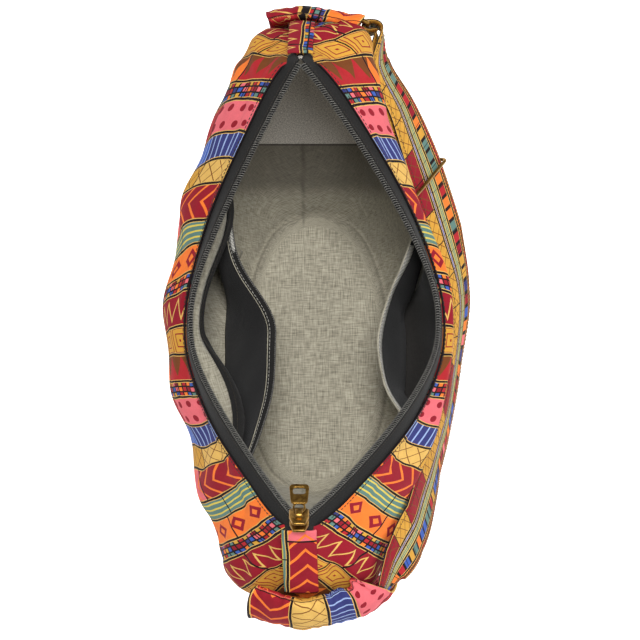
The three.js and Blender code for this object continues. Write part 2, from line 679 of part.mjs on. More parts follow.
function strapPath() {
  const path = [];
  for (let k = 0; k <= lastStation * STEPS_PER_STATION; k += 1) {
    const station = k / STEPS_PER_STATION;
    path.push(strapPoint(strapFrame(station), layerOffset(station)));
  }
  const ringFrame = strapFrame(lastStation);
  const turns = 6;
  for (let k = 1; k < turns; k += 1) {
    const turn = (Math.PI * k) / turns;
    path.push(strapPoint(ringFrame, ringLoop * Math.cos(turn), ringLoop * Math.sin(turn)));
  }
  for (let k = lastStation * STEPS_PER_STATION; k >= ADJUSTER_STATION * STEPS_PER_STATION; k -= 1) {
    const station = k / STEPS_PER_STATION;
    path.push(strapPoint(strapFrame(station), -layerOffset(station)));
  }
  const frame = strapFrame(ADJUSTER_STATION);
  for (let k = 1; k <= turns; k += 1) {
    const turn = (Math.PI * k) / turns;
    const out = -adjusterBar + adjusterLoop * Math.cos(turn);
    path.push(strapPoint(frame, out, -adjusterLoop * Math.sin(turn)));
  }
  const tailSteps = 4;
  const rest = -STRAP.layer - STRAP.thickness - STRAP.slack;
  for (let k = 1; k <= tailSteps; k += 1) {
    const share = k / tailSteps;
    const out = THREE.MathUtils.lerp(-adjusterBar - adjusterLoop, rest, share);
    path.push(strapPoint(frame, out, STRAP.tail * share));
  }
  return path;
}

const path = strapPath();
add('strap', sheetSolid({
  along: path.length - 1,
  across: 1,
  point: (i, j, skin) => {
    const { point, across, width } = path[i];
    const ahead = path[Math.min(i + 1, path.length - 1)].point;
    const behind = path[Math.max(i - 1, 0)].point;
    const face = across.clone().cross(ahead.clone().sub(behind)).normalize();
    const p = point.clone().addScaledVector(across, (j - 0.5) * width);
    return p.addScaledVector(face, (skin === 0 ? 0.5 : -0.5) * STRAP.thickness);
  },
}), 'print');

const adjusterFrame = strapFrame(ADJUSTER_STATION);
add('strap_slider', wireLoop(roundedRectangle(
  ADJUSTER.inside + ADJUSTER.wire, 2 * adjusterBar, ADJUSTER.corner,
).map((p) => adjusterFrame.point.clone()
  .addScaledVector(adjusterFrame.across, p.x)
  .addScaledVector(adjusterFrame.face, p.y)), ADJUSTER.wire), 'brass');

// Pockets: panels that hug the lining at their sides and bottom and gape at the top

function pocketPoint(pocket, share, rise) {
  const angle = THREE.MathUtils.lerp(pocket.from, pocket.to, share);
  const level = THREE.MathUtils.lerp(pocket.bottom, pocket.top, rise);
  const depth = liningInner + POCKET_CLOTH.gap;
  const opening = openingAt(share);
  const inward = Math.cos(radians(angle)) < 0 ? 1 : -1;
  const low = inside(angle, pocket.bottom, depth);
  const high = inside(angle, pocket.top, depth);
  high.x += inward * pocket.gape * opening;
  high.z += pocket.rise * opening;
  const loose = low.lerp(high, rise);
  return inside(angle, level, depth).lerp(loose, THREE.MathUtils.smoothstep(opening, 0, 0.7));
}

function pocketSheet(pocket, thickness, across, place) {
  const inward = Math.cos(radians(pocket.from)) < 0 ? 1 : -1;
  const along = 16;
  return sheetSolid({
    along,
    across,
    point: (i, j, skin) => {
      const p = place(i / along, j / across);
      p.x += skin === 0 ? 0 : inward * thickness;
      return p;
    },
  });
}

function pocketPanel(pocket) {
  const rows = 5;
  return pocketSheet(pocket, POCKET_CLOTH.thickness, rows, (share, rise) => pocketPoint(pocket, share, rise));
}

add('zip_pocket_panel', pocketPanel(ZIP_POCKET), 'chambray');
add('slip_pocket_panel', pocketPanel(SLIP_POCKET), 'chambray');
add('pocket_tape_inner', pocketSheet(ZIP_POCKET, POCKET_TAPE.thickness, 1, (share, rise) => {
  const top = pocketPoint(ZIP_POCKET, share, 1);
  const slope = top.clone().sub(pocketPoint(ZIP_POCKET, share, 0.85)).normalize();
  return top.addScaledVector(slope, GAP + POCKET_TAPE.width * rise);
}), 'tape');
add('pocket_tape_outer', pocketSheet(ZIP_POCKET, POCKET_TAPE.thickness, 1, (share, rise) => {
  const angle = THREE.MathUtils.lerp(ZIP_POCKET.from, ZIP_POCKET.to, share);
  const level = THREE.MathUtils.lerp(POCKET_TAPE.low, POCKET_TAPE.high, rise);
  return inside(angle, level, liningInner + POCKET_TAPE.gap + looseness(angle, level));
}), 'tape');

// The pocket's slider lies on the wall at the near end of its zip, and its pull along the wall
const pocketZip = {
  angle: THREE.MathUtils.lerp(ZIP_POCKET.from, ZIP_POCKET.to, POCKET_SLIDER.share),
  level: POCKET_SLIDER.level,
};
const pocketZipDepth = liningInner + POCKET_SLIDER.lift + looseness(pocketZip.angle, pocketZip.level);
const wallNormal = normalOf(clothPoint, pocketZip.angle, pocketZip.level);
const wallUp = upTheCloth(pocketZip.angle, pocketZip.level);
const wallAlong = wallUp.clone().cross(wallNormal);
const pocketBasis = new THREE.Matrix4().makeBasis(wallUp, wallAlong, wallNormal.clone().negate());
const pocketSliderGroup = new THREE.Group();
pocketSliderGroup.applyMatrix4(pocketBasis);
pocketSliderGroup.position.copy(inside(pocketZip.angle, pocketZip.level, pocketZipDepth));
bag.add(pocketSliderGroup);
const pocketSliderTop = POCKET_SLIDER.thickness / 2;
add('pocket_slider', joined(
  block(POCKET_SLIDER.width, POCKET_SLIDER.length, POCKET_SLIDER.thickness, 0, 0, 0),
  ...crownParts(POCKET_CROWN, pocketSliderTop),
), 'brass', pocketSliderGroup);
const pocketPullGroup = new THREE.Group();
pocketPullGroup.position.set(0, 0, pocketSliderTop + PULL_EYE.lift);
pocketSliderGroup.add(pocketPullGroup);
add('pocket_pull', pullSolid(POCKET_PULL, POCKET_CROWN), 'brass', pocketPullGroup);

export default bag;
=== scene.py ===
"""Looks of a printed canvas shoulder bag that stands open on its base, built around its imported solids.

Lengths are in millimetres in the tables and functions, and become metres when a mesh is made.
"""
import math

import bpy
import numpy as np
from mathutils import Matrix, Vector


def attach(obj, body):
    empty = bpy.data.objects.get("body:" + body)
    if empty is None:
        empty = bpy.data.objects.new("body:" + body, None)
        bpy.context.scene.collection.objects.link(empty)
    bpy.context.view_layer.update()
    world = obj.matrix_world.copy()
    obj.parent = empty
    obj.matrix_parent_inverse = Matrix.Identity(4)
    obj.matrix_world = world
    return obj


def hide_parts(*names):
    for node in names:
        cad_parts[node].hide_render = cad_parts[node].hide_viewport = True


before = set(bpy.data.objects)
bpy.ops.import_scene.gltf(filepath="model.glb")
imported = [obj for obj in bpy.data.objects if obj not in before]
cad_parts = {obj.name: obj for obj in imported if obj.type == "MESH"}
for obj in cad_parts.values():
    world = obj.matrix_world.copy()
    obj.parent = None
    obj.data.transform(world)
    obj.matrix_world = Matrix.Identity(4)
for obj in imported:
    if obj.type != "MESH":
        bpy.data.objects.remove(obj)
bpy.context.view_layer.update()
MM = 0.001
BODY = "bag"

# Cloth surface: the same levels and folds as the solids

# Columns: far and near length, half width, far and near taper, far and near bluntness, height at the middle
# and at the ends, sideways shift at the middle and at the ends, lean of the far half
LEVELS = np.array([
    (110, 110, 54, 2.25, 2.25, 0.48, 0.48, 0, 0, 0, 0, 0),
    (117, 117, 63, 2.15, 2.15, 0.46, 0.46, 4, 7, 0, 0, 0),
    (132, 132, 84, 1.9, 1.8, 0.42, 0.42, 21, 40, -1, -2, -2),
    (153, 154, 99, 1.55, 1.3, 0.36, 0.41, 46, 84, -3, -4, -5),
    (174, 178, 106, 1.37, 1.02, 0.32, 0.44, 73, 128, -4, -6, -8),
    (193, 197, 103, 1.24, 0.9, 0.32, 0.47, 92, 164, -3, -7, -9),
    (196, 200, 99, 1.2, 0.9, 0.34, 0.48, 101, 190, -2, -8, -8),
    (186, 186, 95, 1.2, 0.95, 0.34, 0.42, 107, 220, -1, -9, -5),
    (162, 162, 92, 1.27, 1.27, 0.19, 0.19, 111, 242, -1, -10, -1),
    (153, 153, 90, 1.3, 1.3, 0.02, 0.02, 123, 251, -1, -10, 0),
])
END_SHIFT_COLUMN = 10
RIM_LEVEL = 8.0
ZIP_LEVEL = 9.0
BLUNT_POWER = 16
SAG_POWER = 1.2
LEAN_POWER = 1.2
SIDE_ROUNDING = 0.14

# angle, level, spread in angle, spread in level, height
FOLDS = (
    (118, 6.2, 9, 1.0, 4), (101, 7.2, 5, 0.7, -4), (66, 6.6, 7, 0.9, 6), (76, 7.4, 5, 0.6, -3.5),
    (152, 4.5, 9, 1.4, -4), (196, 5.0, 11, 1.2, 3), (226, 5.2, 9, 1.2, -3), (247, 6.3, 8, 1.0, 6),
    (259, 7.2, 4, 0.7, -3.5), (290, 6.6, 7, 0.9, 5), (318, 5.2, 9, 1.2, -3), (30, 4.8, 10, 1.3, -3),
)
GATHER_HEIGHT = 1.5
GATHER_PERIOD = 15
GATHER_REACH = 46
GATHER_CLEAR = 15
GATHER_LEVEL = 7.0
GATHER_SPREAD = 0.8
# The gathers lie where the size of the angle's cosine is less than this
GATHER_SIDE = 0.8
# The levels over which the folds grow and fade
FOLD_LEVELS = ((0, 1), (7.6, 8))

CANVAS = 1.6
LINING_OUTER = 2.1
LINING_INNER = 3.1
LINING_AT_TAPE = 2.0
LINING_TOP = 8.6
TAPE = 1.0


def smoothstep(value, low, high):
    share = np.clip((value - low) / (high - low), 0, 1)
    return share * share * (3 - 2 * share)


def between(value, rise, fall):
    """1 between two slopes: up over the first span and down over the second."""
    return smoothstep(value, *rise) * (1 - smoothstep(value, *fall))


def lerp(a, b, share):
    return a + (b - a) * share


def unit(vectors):
    return vectors / np.linalg.norm(vectors, axis=-1, keepdims=True)


def bump(distance, spread):
    return np.exp(-((distance / spread) ** 2))


def level_row(level):
    """The table's columns at a level, on a smooth curve through its rows."""
    level = np.asarray(level, float)
    last = len(LEVELS) - 1
    i = np.clip(np.floor(level).astype(int), 0, last - 1)
    t = (level - i)[..., None]
    a, b, c, d = (LEVELS[np.clip(i + step, 0, last)] for step in (-1, 0, 1, 2))
    row = b + 0.5 * t * (c - a + t * (2 * a - 5 * b + 4 * c - d + t * (3 * (b - c) + d - a)))
    return np.moveaxis(row, -1, 0)


def reach_of(along):
    def rounded(value):
        return np.hypot(value, SIDE_ROUNDING) - SIDE_ROUNDING
    return rounded(along) / rounded(1.0)


def reach_at(angle):
    """0 at the middle of a side and 1 at the bag's two ends."""
    return reach_of(np.sin(np.radians(angle)))


def plain_point(angle, level):
    """A point of the cloth without its folds; the angle runs from the right side by the far end."""
    angle, level = np.broadcast_arrays(np.asarray(angle, float), np.asarray(level, float))
    (
        far_length, near_length, half_width, far_taper, near_taper, far_blunt, near_blunt,
        z_mid, z_end, shift_mid, shift_end, lean,
    ) = level_row(level)
    along = np.sin(np.radians(angle))
    reach = reach_of(along)
    far = along > 0
    blunt = np.where(far, far_blunt, near_blunt)
    pointed = 1 - reach ** np.where(far, far_taper, near_taper)
    square = 1 - reach ** BLUNT_POWER
    width = half_width * ((1 - blunt) * pointed + blunt * square)
    side = np.where(np.cos(np.radians(angle)) < 0, -1, 1)
    shift = lerp(shift_mid, shift_end, reach ** 2)
    x = side * width + shift + np.where(far, lean * np.sin(np.pi * reach ** LEAN_POWER), 0)
    y = along * np.where(far, far_length, near_length)
    return np.stack((x, y, lerp(z_mid, z_end, reach ** SAG_POWER)), axis=-1)


def off_crest(angle, level):
    """How far across the bag a point lies from its ends."""
    return np.abs(plain_point(angle, level)[..., 0] - level_row(level)[END_SHIFT_COLUMN])


def normal_of(point, angle, level):
    angle_step = 1.5
    level_step = 0.05
    low = np.maximum(level - level_step, 0)
    high = np.minimum(level + level_step, ZIP_LEVEL)
    around = point(angle + angle_step, level) - point(angle - angle_step, level)
    upward = point(angle, high) - point(angle, low)
    return unit(np.cross(around, upward))


def turn_gap(angle, centre):
    return np.abs((angle - centre + 180) % 360 - 180)


def swells(rows, angle, level):
    """The height of soft swells, by rows of angle, level, spread in angle, spread in level and height."""
    rise = np.zeros(angle.shape)
    for centre, swell_level, spread_angle, spread_level, height in rows:
        rise += height * bump(turn_gap(angle, centre), spread_angle) * bump(level - swell_level, spread_level)
    return rise


def fold_height(angle, level):
    angle, level = np.broadcast_arrays(np.asarray(angle, float), np.asarray(level, float))
    x = off_crest(angle, level)
    at_ends = np.abs(np.cos(np.radians(angle))) < GATHER_SIDE
    gathered = at_ends & (x > GATHER_CLEAR) & (x < GATHER_REACH)
    wave = 1 - np.cos(2 * np.pi * (x - GATHER_CLEAR) / GATHER_PERIOD)
    gathers = GATHER_HEIGHT * wave * bump(level - GATHER_LEVEL, GATHER_SPREAD)
    height = swells(FOLDS, angle, level) - np.where(gathered, gathers, 0)
    return height * between(level, *FOLD_LEVELS)


def lifted(point, angle, level, height):
    """A point of a surface, raised by a height along its normal."""
    return point(angle, level) + normal_of(point, angle, level) * np.asarray(height)[..., None]


def cloth_point(angle, level):
    return lifted(plain_point, angle, level, fold_height(angle, level))


def inside(angle, level, depth):
    return lifted(cloth_point, angle, level, -np.asarray(depth))


def up_the_cloth(angle, level):
    return unit(plain_point(angle, level) - plain_point(angle, level - 0.1))


# Meshes


def add_object(name, data):
    obj = bpy.data.objects.new(name, data)
    bpy.context.scene.collection.objects.link(obj)
    return obj


def new_object(name, points, faces, material, node=None, body=BODY, uv=None, shades=None):
    """A smooth mesh that rides on a body, takes a material and may stand for a node, whose solid it hides."""
    mesh = bpy.data.meshes.new(name)
    mesh.from_pydata((np.asarray(points, float).reshape(-1, 3) * MM).tolist(), [], faces)
    mesh.update()
    mesh.polygons.foreach_set("use_smooth", [True] * len(mesh.polygons))
    if uv is not None:
        corners = np.empty(len(mesh.loops), np.int32)
        mesh.loops.foreach_get("vertex_index", corners)
        layer = mesh.uv_layers.new(name="UVMap")
        layer.data.foreach_set("uv", np.asarray(uv, np.float32).reshape(-1, 2)[corners].ravel())
    for shade, values in (shades or {}).items():
        attribute = mesh.attributes.new(shade, "FLOAT", "POINT")
        attribute.data.foreach_set("value", np.asarray(values, np.float32).ravel())
    mesh.materials.append(material)
    obj = add_object(name, mesh)
    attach(obj, body)
    if node:
        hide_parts(node)
    return obj


def grid_faces(rows, columns, wrapped=False, closed=False):
    """Faces of rows of points: wrapped joins a row's two ends, closed joins the last row to the first."""
    faces = []
    for j in range(rows if closed else rows - 1):
        row = j * columns
        above = (j + 1) % rows * columns
        for i in range(columns if wrapped else columns - 1):
            k = (i + 1) % columns
            faces.append((row + i, row + k, above + k, above + i))
    return faces


def tube_faces(count, sides, closed=False):
    faces = grid_faces(count, sides, True, closed)
    if not closed:
        faces.append(tuple(reversed(range(sides))))
        faces.append(tuple(range((count - 1) * sides, count * sides)))
    return faces


def flat_place(u, v):
    """Places on the flat cloth, in millimetres."""
    return np.stack(np.broadcast_arrays(u, v), axis=-1)


def sheet(name, points, uv, material, node, thickness, wrapped=False, capped=False, flipped=False,
          shades=None, back=None):
    """A thick cloth from rows of points; capped closes its first row, and back is the material behind."""
    rows, columns = points.shape[:2]
    faces = grid_faces(rows, columns, wrapped)
    if capped:
        faces.append(tuple(reversed(range(columns))))
    if flipped:
        faces = [face[::-1] for face in faces]
    obj = new_object(name, points, faces, material, node, uv=uv, shades=shades)
    solid = obj.modifiers.new("thickness", "SOLIDIFY")
    solid.thickness = thickness * MM
    if back:
        obj.data.materials.append(back)
        solid.material_offset = 1


def tube(name, sections, material, node=None, closed=False, uv=None, body=BODY):
    """A solid skinned over a row of closed outlines: sections[station, corner, xyz]."""
    faces = tube_faces(*sections.shape[:2], closed)
    return new_object(name, sections, faces, material, node, body, uv)


def circle(sides):
    return 2 * np.pi * np.arange(sides) / sides


def ovals(centres, a, b, sides):
    """Outlines round a line of centres, from two half axes at each."""
    turns = circle(sides)[None, :, None]
    return centres[:, None] + np.cos(turns) * a[:, None] + np.sin(turns) * b[:, None]


def in_frame(points, place):
    origin, x, y, z = place
    points = np.asarray(points, float)
    return origin + points[..., :1] * x + points[..., 1:2] * y + points[..., 2:3] * z


def arc_lengths(points):
    steps = np.linalg.norm(np.diff(points, axis=0), axis=1)
    return np.concatenate(([0.0], np.cumsum(steps)))


def directions(points):
    """The directions along a line of points."""
    return unit(np.gradient(points, axis=0))


def spaced(points, *others, pitch):
    """Places along a line every pitch, and the other values there."""
    lengths = arc_lengths(points)
    places = np.arange(pitch / 2, lengths[-1], pitch)
    return [
        np.stack([np.interp(places, lengths, column) for column in values.T], axis=1)
        for values in (points, *others)
    ]


def copies(name, template, origins, axes, material, node=None):
    """One mesh of many copies of a small shape, each in its own frame of three axes."""
    vertices, faces = template
    points = in_frame(vertices, [part[:, None] for part in (origins, *axes)])
    count = len(vertices)
    all_faces = [tuple(v + k * count for v in face) for k in range(len(origins)) for face in faces]
    new_object(name, points, all_faces, material, node)


def capsule(length, radius, sides=5):
    """A stitch: a short thread that dips at its ends, along x with z up."""
    # Places along it, sizes and rises of its rings
    rings = ((-0.5, 0.35, -0.6), (-0.36, 0.9, 0.1), (0.0, 1.0, 0.35), (0.36, 0.9, 0.1), (0.5, 0.35, -0.6))
    vertices = [
        (along * length, radius * size * math.cos(turn), radius * (rise + size * math.sin(turn)))
        for along, size, rise in rings for turn in circle(sides)
    ]
    return np.array(vertices), tube_faces(len(rings), sides)


def coil_turn(half_width, half_height, wire, pitch, steps=10, sides=5):
    """One turn of a zip's coil round x, from one edge of the tape to the other and back."""
    vertices = []
    for turn in circle(steps):
        outward = np.array((0.0, math.cos(turn), math.sin(turn)))
        centre = outward * (0, half_width, half_height) + (pitch * 0.3 * math.sin(turn), 0, 0)
        for around in circle(sides):
            vertices.append(centre + wire * (outward * math.cos(around) + (math.sin(around), 0, 0)))
    return np.array(vertices), tube_faces(steps, sides, closed=True)


def stitch_row(name, points, normals, material, stitch, lift=0.15):
    """A row of stitches on a line; a stitch is its length, pitch and radius."""
    length, pitch, radius = stitch
    origins, ups = spaced(points, normals, pitch=pitch)
    tangents = directions(origins)
    ups = unit(ups - tangents * np.sum(ups * tangents, axis=1, keepdims=True))
    axes = (tangents, np.cross(ups, tangents), ups)
    copies(name, capsule(length, radius), origins + ups * lift, axes, material)


def rounded_rectangle(width, height, corner, steps=8):
    points = []
    for k in range(4):
        cx = (1 if k in (0, 3) else -1) * (width / 2 - corner)
        cy = (1 if k < 2 else -1) * (height / 2 - corner)
        for s in range(steps + 1):
            turn = math.pi / 2 * (k + s / steps)
            points.append((cx + corner * math.cos(turn), cy + corner * math.sin(turn)))
    return np.array(points)


# Materials

METAL_SPECULAR = 0.5
DULL_SPECULAR = 0.15


def linear(red, green, blue):
    def channel(value):
        share = value / 255
        return share / 12.92 if share <= 0.04045 else ((share + 0.055) / 1.055) ** 2.4
    return (channel(red), channel(green), channel(blue), 1.0)


def new_material(name, inputs):
    """A material and its shader, with the inputs given by name."""
    material = bpy.data.materials.new(name)
    material.use_nodes = True
    shader = material.node_tree.nodes["Principled BSDF"]
    for place, value in inputs.items():
        shader.inputs[place].default_value = value
    return material, shader


def arithmetic(operation):
    def method(self, *others):
        return self.look.node("Math", (self, *others), operation=operation)
    return method


class Field:
    """A value that a material's nodes work out at each point, with ordinary arithmetic."""

    def __init__(self, look, socket):
        self.look = look
        self.socket = socket

    def __rsub__(self, other):
        return self.look.node("Math", (other, self), operation="SUBTRACT")

    def off_middle(self):
        """How far a value lies from the middle between two whole numbers."""
        return (self.fract() - 0.5).size()

    __add__ = arithmetic("ADD")
    __sub__ = arithmetic("SUBTRACT")
    __mul__ = arithmetic("MULTIPLY")
    __truediv__ = arithmetic("DIVIDE")
    __lt__ = arithmetic("LESS_THAN")
    __gt__ = arithmetic("GREATER_THAN")
    floor = arithmetic("FLOOR")
    fract = arithmetic("FRACT")
    size = arithmetic("ABSOLUTE")
    larger = arithmetic("MAXIMUM")


class Look:
    """A material under construction: its shader and the node helpers that the recipes use."""

    def __init__(self, name, roughness, metallic=0.0, sheen=0.0):
        self.material, self.shader = new_material(name, {
            "Roughness": roughness, "Metallic": metallic, "Sheen Weight": sheen,
            "Specular IOR Level": METAL_SPECULAR if metallic else DULL_SPECULAR,
        })
        self.tree = self.material.node_tree

    def join(self, place, value):
        if isinstance(value, Field):
            self.tree.links.new(value.socket, place)
        else:
            place.default_value = value

    def node(self, kind, inputs=(), output=0, **settings):
        """Adds a node with its inputs, by number or by name, and gives one of its outputs."""
        made = self.tree.nodes.new("ShaderNode" + kind)
        for name, value in settings.items():
            setattr(made, name, value)
        for place, value in inputs.items() if isinstance(inputs, dict) else enumerate(inputs):
            self.join(made.inputs[place], value)
        return Field(self, made.outputs[output])

    def cloth_axes(self):
        """The two directions of the cloth, in millimetres."""
        uv = self.node("UVMap", output="UV", uv_map="UVMap")
        return self.node("SeparateXYZ", (uv,), 0), self.node("SeparateXYZ", (uv,), 1)

    def noise(self, place, scale, detail):
        """Soft noise at a place: a vector or its parts."""
        vector = self.node("CombineXYZ", place) if isinstance(place, tuple) else place
        return self.node("TexNoise", {"Vector": vector, "Scale": scale, "Detail": detail, "Roughness": 0.55})

    def chance(self, *place):
        """A random number from 0 to 1 for each place."""
        vector = self.node("CombineXYZ", place)
        return self.node("TexWhiteNoise", (vector,), "Value", noise_dimensions="3D")

    def attribute(self, name):
        return self.node("Attribute", output="Fac", attribute_name=name)

    def steps(self, share, colours, places=None):
        """Steps of flat colour along a share from 0 to 1, equal unless their places are given."""
        stepped = self.node("ValToRGB", (share,))
        ramp = stepped.socket.node.color_ramp
        ramp.interpolation = "CONSTANT"
        while len(ramp.elements) < len(colours):
            ramp.elements.new(1.0)
        for k, colour in enumerate(colours):
            ramp.elements[k].position = k / len(colours) if places is None else places[k]
            ramp.elements[k].color = colour
        return stepped

    def numbers(self, share, values, places):
        """Steps of a number from 0 to 1 along a share."""
        return self.steps(share, [(value, value, value, 1.0) for value in values], places)

    def mix(self, share, a, b, blend="MIX"):
        return self.node("Mix", {0: share, 6: a, 7: b}, 2, data_type="RGBA", blend_type=blend)

    def mottled(self, field, strength, dark, light):
        """Between two colours by a field, with its contrast about the middle made stronger."""
        return self.mix((field - 0.5) * strength + 0.5, dark, light)

    def tinted(self, colour, share, low, high):
        """A colour made darker and lighter between two factors by a share."""
        factor = share * (high - low) + low
        return self.mix(1.0, colour, self.node("CombineColor", (factor,) * 3), "MULTIPLY")

    def bumped(self, height, strength, distance):
        inputs = {"Strength": strength, "Distance": distance * MM, "Height": height}
        self.join(self.shader.inputs["Normal"], self.node("Bump", inputs))

    def coloured(self, colour):
        self.join(self.shader.inputs["Base Color"], colour)
        return self.material


def weave(u, v, thread):
    """Height of a plain weave of threads."""
    return (0.5 - (u * (1 / thread)).off_middle()) + (0.5 - (v * (1 / thread)).off_middle())


def threads(look, u, v, fine, long, detail):
    """Uneven threads both ways: fine across each thread and long along it."""
    warp = look.noise((u * fine, v * long), 1.0, detail)
    weft = look.noise((u * long, v * fine), 1.0, detail)
    return (warp + weft) * 0.5


RED = linear(170, 38, 44)
CRIMSON = linear(140, 26, 40)
CORAL = linear(214, 86, 76)
PINK = linear(220, 104, 112)
ORANGE = linear(236, 120, 48)
OCHRE = linear(202, 150, 58)
GOLD = linear(214, 172, 92)
YELLOW = linear(212, 190, 84)
INDIGO = linear(52, 56, 112)
COBALT = linear(58, 88, 168)
SKY = linear(150, 170, 214)
TEAL = linear(92, 124, 116)
BROWN = linear(112, 62, 30)
INK = linear(30, 22, 24)

# The bands of the prints: width, grounds that take turns along the band, motif and its colour
BODY_BANDS = (
    (22, (RED, CRIMSON, CORAL), "zigzag", GOLD),
    (12, (INK,), "patches", None),
    (19, (ORANGE, ORANGE, CORAL), "diamonds", CRIMSON),
    (16, (TEAL,), "lines", YELLOW),
    (24, (CRIMSON, RED, PINK), "chevrons", ORANGE),
    (17, (OCHRE, GOLD), "lattice", BROWN),
    (18, (INDIGO, COBALT), "rungs", SKY),
    (22, (CORAL, PINK, RED), "dots", CRIMSON),
    (13, (INK,), "patches", None),
    (20, (ORANGE, RED, OCHRE), "triangles", BROWN),
    (18, (OCHRE, OCHRE, GOLD), "squares", CRIMSON),
)
STRAP_BANDS = (
    (15, (OCHRE, CRIMSON), "lattice", BROWN),
    (4, (INDIGO, COBALT), "rungs", SKY),
    (7, (TEAL,), "lines", YELLOW),
    (10, (INK,), "patches", None),
    (6, (BROWN, CRIMSON), "dots", ORANGE),
)
OUTLINE_WIDTH = 0.8
BLOCK_LINE_WIDTH = 0.48
GOLD_LINE_WIDTH = 0.5
# Blocks of one ground in a band width, and the chances past which a block has its second or third ground
BLOCKS = 0.55
# About the length of a block
BLOCK_LENGTH = 30.0
SECOND_GROUND = 0.42
THIRD_GROUND = 0.74
# A band wider than this has three rows of patches, and a narrower one has one
NARROW_BAND = 11
# A band's number is kept in a ramp as a share of this
MOST_BANDS = 32
CANVAS_THREAD = 0.55
LINING_THREAD = 0.6


def motif_mask(motif, s, t):
    """Where a motif lies: s runs across the band from 0 to 1, and t along it in band widths."""
    middle = s - 0.5
    if motif == "zigzag":
        return ((t * 2.0).off_middle() * 1.2 - 0.3 - middle).size() < 0.06
    if motif == "diamonds":
        lozenge = middle.size() + t.off_middle()
        return (lozenge < 0.34) * (lozenge > 0.15)
    if motif == "triangles":
        return (t * 1.5).off_middle() * 1.5 + 0.2 < s
    if motif == "squares":
        return (middle.size().larger(t.off_middle()) * 5.0).fract() < 0.22
    if motif == "chevrons":
        return (t * 2.0 + middle.size() * 2.0).fract() < 0.2
    if motif == "lines":
        return (s * 4.0).fract() < 0.3
    if motif == "rungs":
        return (t * 3.2).fract() < 0.2
    if motif == "lattice":
        rise = ((s + t) * 1.5).fract()
        fall = ((s - t) * 1.5).fract()
        return (rise < 0.08).larger(fall < 0.08)
    across = (s * 2.0).off_middle()
    along = (t * 2.0).off_middle()
    return (across * across + along * along) < 0.05


def patchwork(look, s, t, columns):
    """Small squares of many colours, and where they leave a dark gap."""
    across = s * columns
    along = t * columns
    pick = look.chance(across.floor(), along.floor(), 7.0)
    colours = look.steps(pick, [RED, ORANGE, COBALT, PINK, OCHRE, INDIGO, TEAL, CRIMSON])
    return colours, across.off_middle().larger(along.off_middle()) < 0.36


def print_look(name, bands, drift_size):
    """Printed cloth in bands, each with its grounds in blocks, its motif, and gold and dark outlines."""
    look = Look(name, roughness=0.9)
    u, v = look.cloth_axes()
    total = float(sum(band[0] for band in bands))
    starts = np.concatenate(([0.0], np.cumsum([band[0] for band in bands])[:-1])) / total
    drift = look.noise((u, v), 0.025, 2.0)
    share = ((u + (drift - 0.5) * drift_size) * (1 / total)).fract()
    index = look.numbers(share, [k / MOST_BANDS for k in range(len(bands))], starts) * MOST_BANDS
    start = look.numbers(share, list(starts), starts)
    width = look.numbers(share, [band[0] / total for band in bands], starts)
    s = (share - start) / width
    t = v / (width * total)
    block_share = t * BLOCKS
    block = look.chance((index + 0.5).floor(), block_share.floor(), 3.0)
    grounds = [[band[1][k % len(band[1])] for band in bands] for k in range(3)]
    first, second, third = (look.steps(share, colours, starts) for colours in grounds)
    colour = look.mix(block > SECOND_GROUND, first, second)
    colour = look.mix(block > THIRD_GROUND, colour, third)
    for k, (band_width, _, motif, motif_colour) in enumerate(bands):
        here = (index - k).size() < 0.25
        if motif == "patches":
            patches, inset = patchwork(look, s, t, 1.0 if band_width < NARROW_BAND else 3.0)
            colour = look.mix(here * inset, colour, patches)
        else:
            colour = look.mix(here * motif_mask(motif, s, t), colour, motif_colour)
    edge = (0.5 - (s - 0.5).size()) * width * total
    colour = look.mix(edge < OUTLINE_WIDTH + GOLD_LINE_WIDTH, colour, GOLD)
    block_edge = (0.5 - block_share.off_middle()) * BLOCK_LENGTH
    colour = look.mix((edge < OUTLINE_WIDTH).larger(block_edge < BLOCK_LINE_WIDTH), colour, INK)
    blotch = look.noise((u, v), 0.12, 4.0)
    colour = look.tinted(colour, blotch, 0.8, 1.16)
    colour = look.tinted(colour, threads(look, u, v, 3.0, 0.6, 2.0), 0.74, 1.24)
    look.bumped(weave(u, v, CANVAS_THREAD) * 0.6 + blotch, 0.35, 0.35)
    return look.coloured(colour)


# How far below the facing's hem the lining's hem value starts from 0
HEM_REACH = 50.0
# Half the width of the dark line under the facing's hem: partly its seam, partly painted shadow of the
# facing's edge
HEM_LINE_HALF = 0.7
TWILL = 1.1


def chambray_look():
    """Grey lining cloth, with places that are paler (partly painted light), darker (painted shade), black,
    sewn (with some painted shadow at the hem) or part of the facing.
    """
    look = Look("chambray", roughness=0.9, sheen=0.2)
    u, v = look.cloth_axes()
    slub = threads(look, u, v, 1.07, 0.1, 3.0)
    colour = look.mottled(slub, 3.2, linear(112, 107, 93), linear(188, 182, 163))
    colour = look.tinted(colour, look.noise((u, v), 0.03, 3.0), 0.86, 1.12)
    fuzz = look.noise((u, v), 0.9, 4.0)
    past_hem = look.attribute("hem") - HEM_REACH
    hem_seam_and_shadow = (past_hem + HEM_LINE_HALF).size() < HEM_LINE_HALF
    layers = (
        # paler cloth behind the zip pocket, partly painted light
        (look.attribute("pale_and_painted_light"), look.mottled(fuzz, 2.0, linear(210, 207, 200), linear(255, 252, 246))),
        # painted shade: darker lining below the far facing's hem
        (look.attribute("painted_shade") * 0.7, linear(88, 82, 72)),
        (past_hem > 0.0, look.mottled(fuzz, 2.0, linear(128, 123, 116), linear(238, 231, 220))),
        # dark line under the facing's hem: partly seam, partly painted shadow of its edge
        (hem_seam_and_shadow * 0.6, linear(50, 46, 40)),
        (look.attribute("black"), look.mix(slub, linear(16, 15, 15), linear(58, 55, 52))),
        (look.attribute("seam") * 0.55, linear(66, 61, 52)),
    )
    for cover, cloth in layers:
        colour = look.mix(cover, colour, cloth)
    look.bumped(weave(u, v, LINING_THREAD) * 0.5 + slub, 0.4, 0.4)
    return look.coloured(colour)


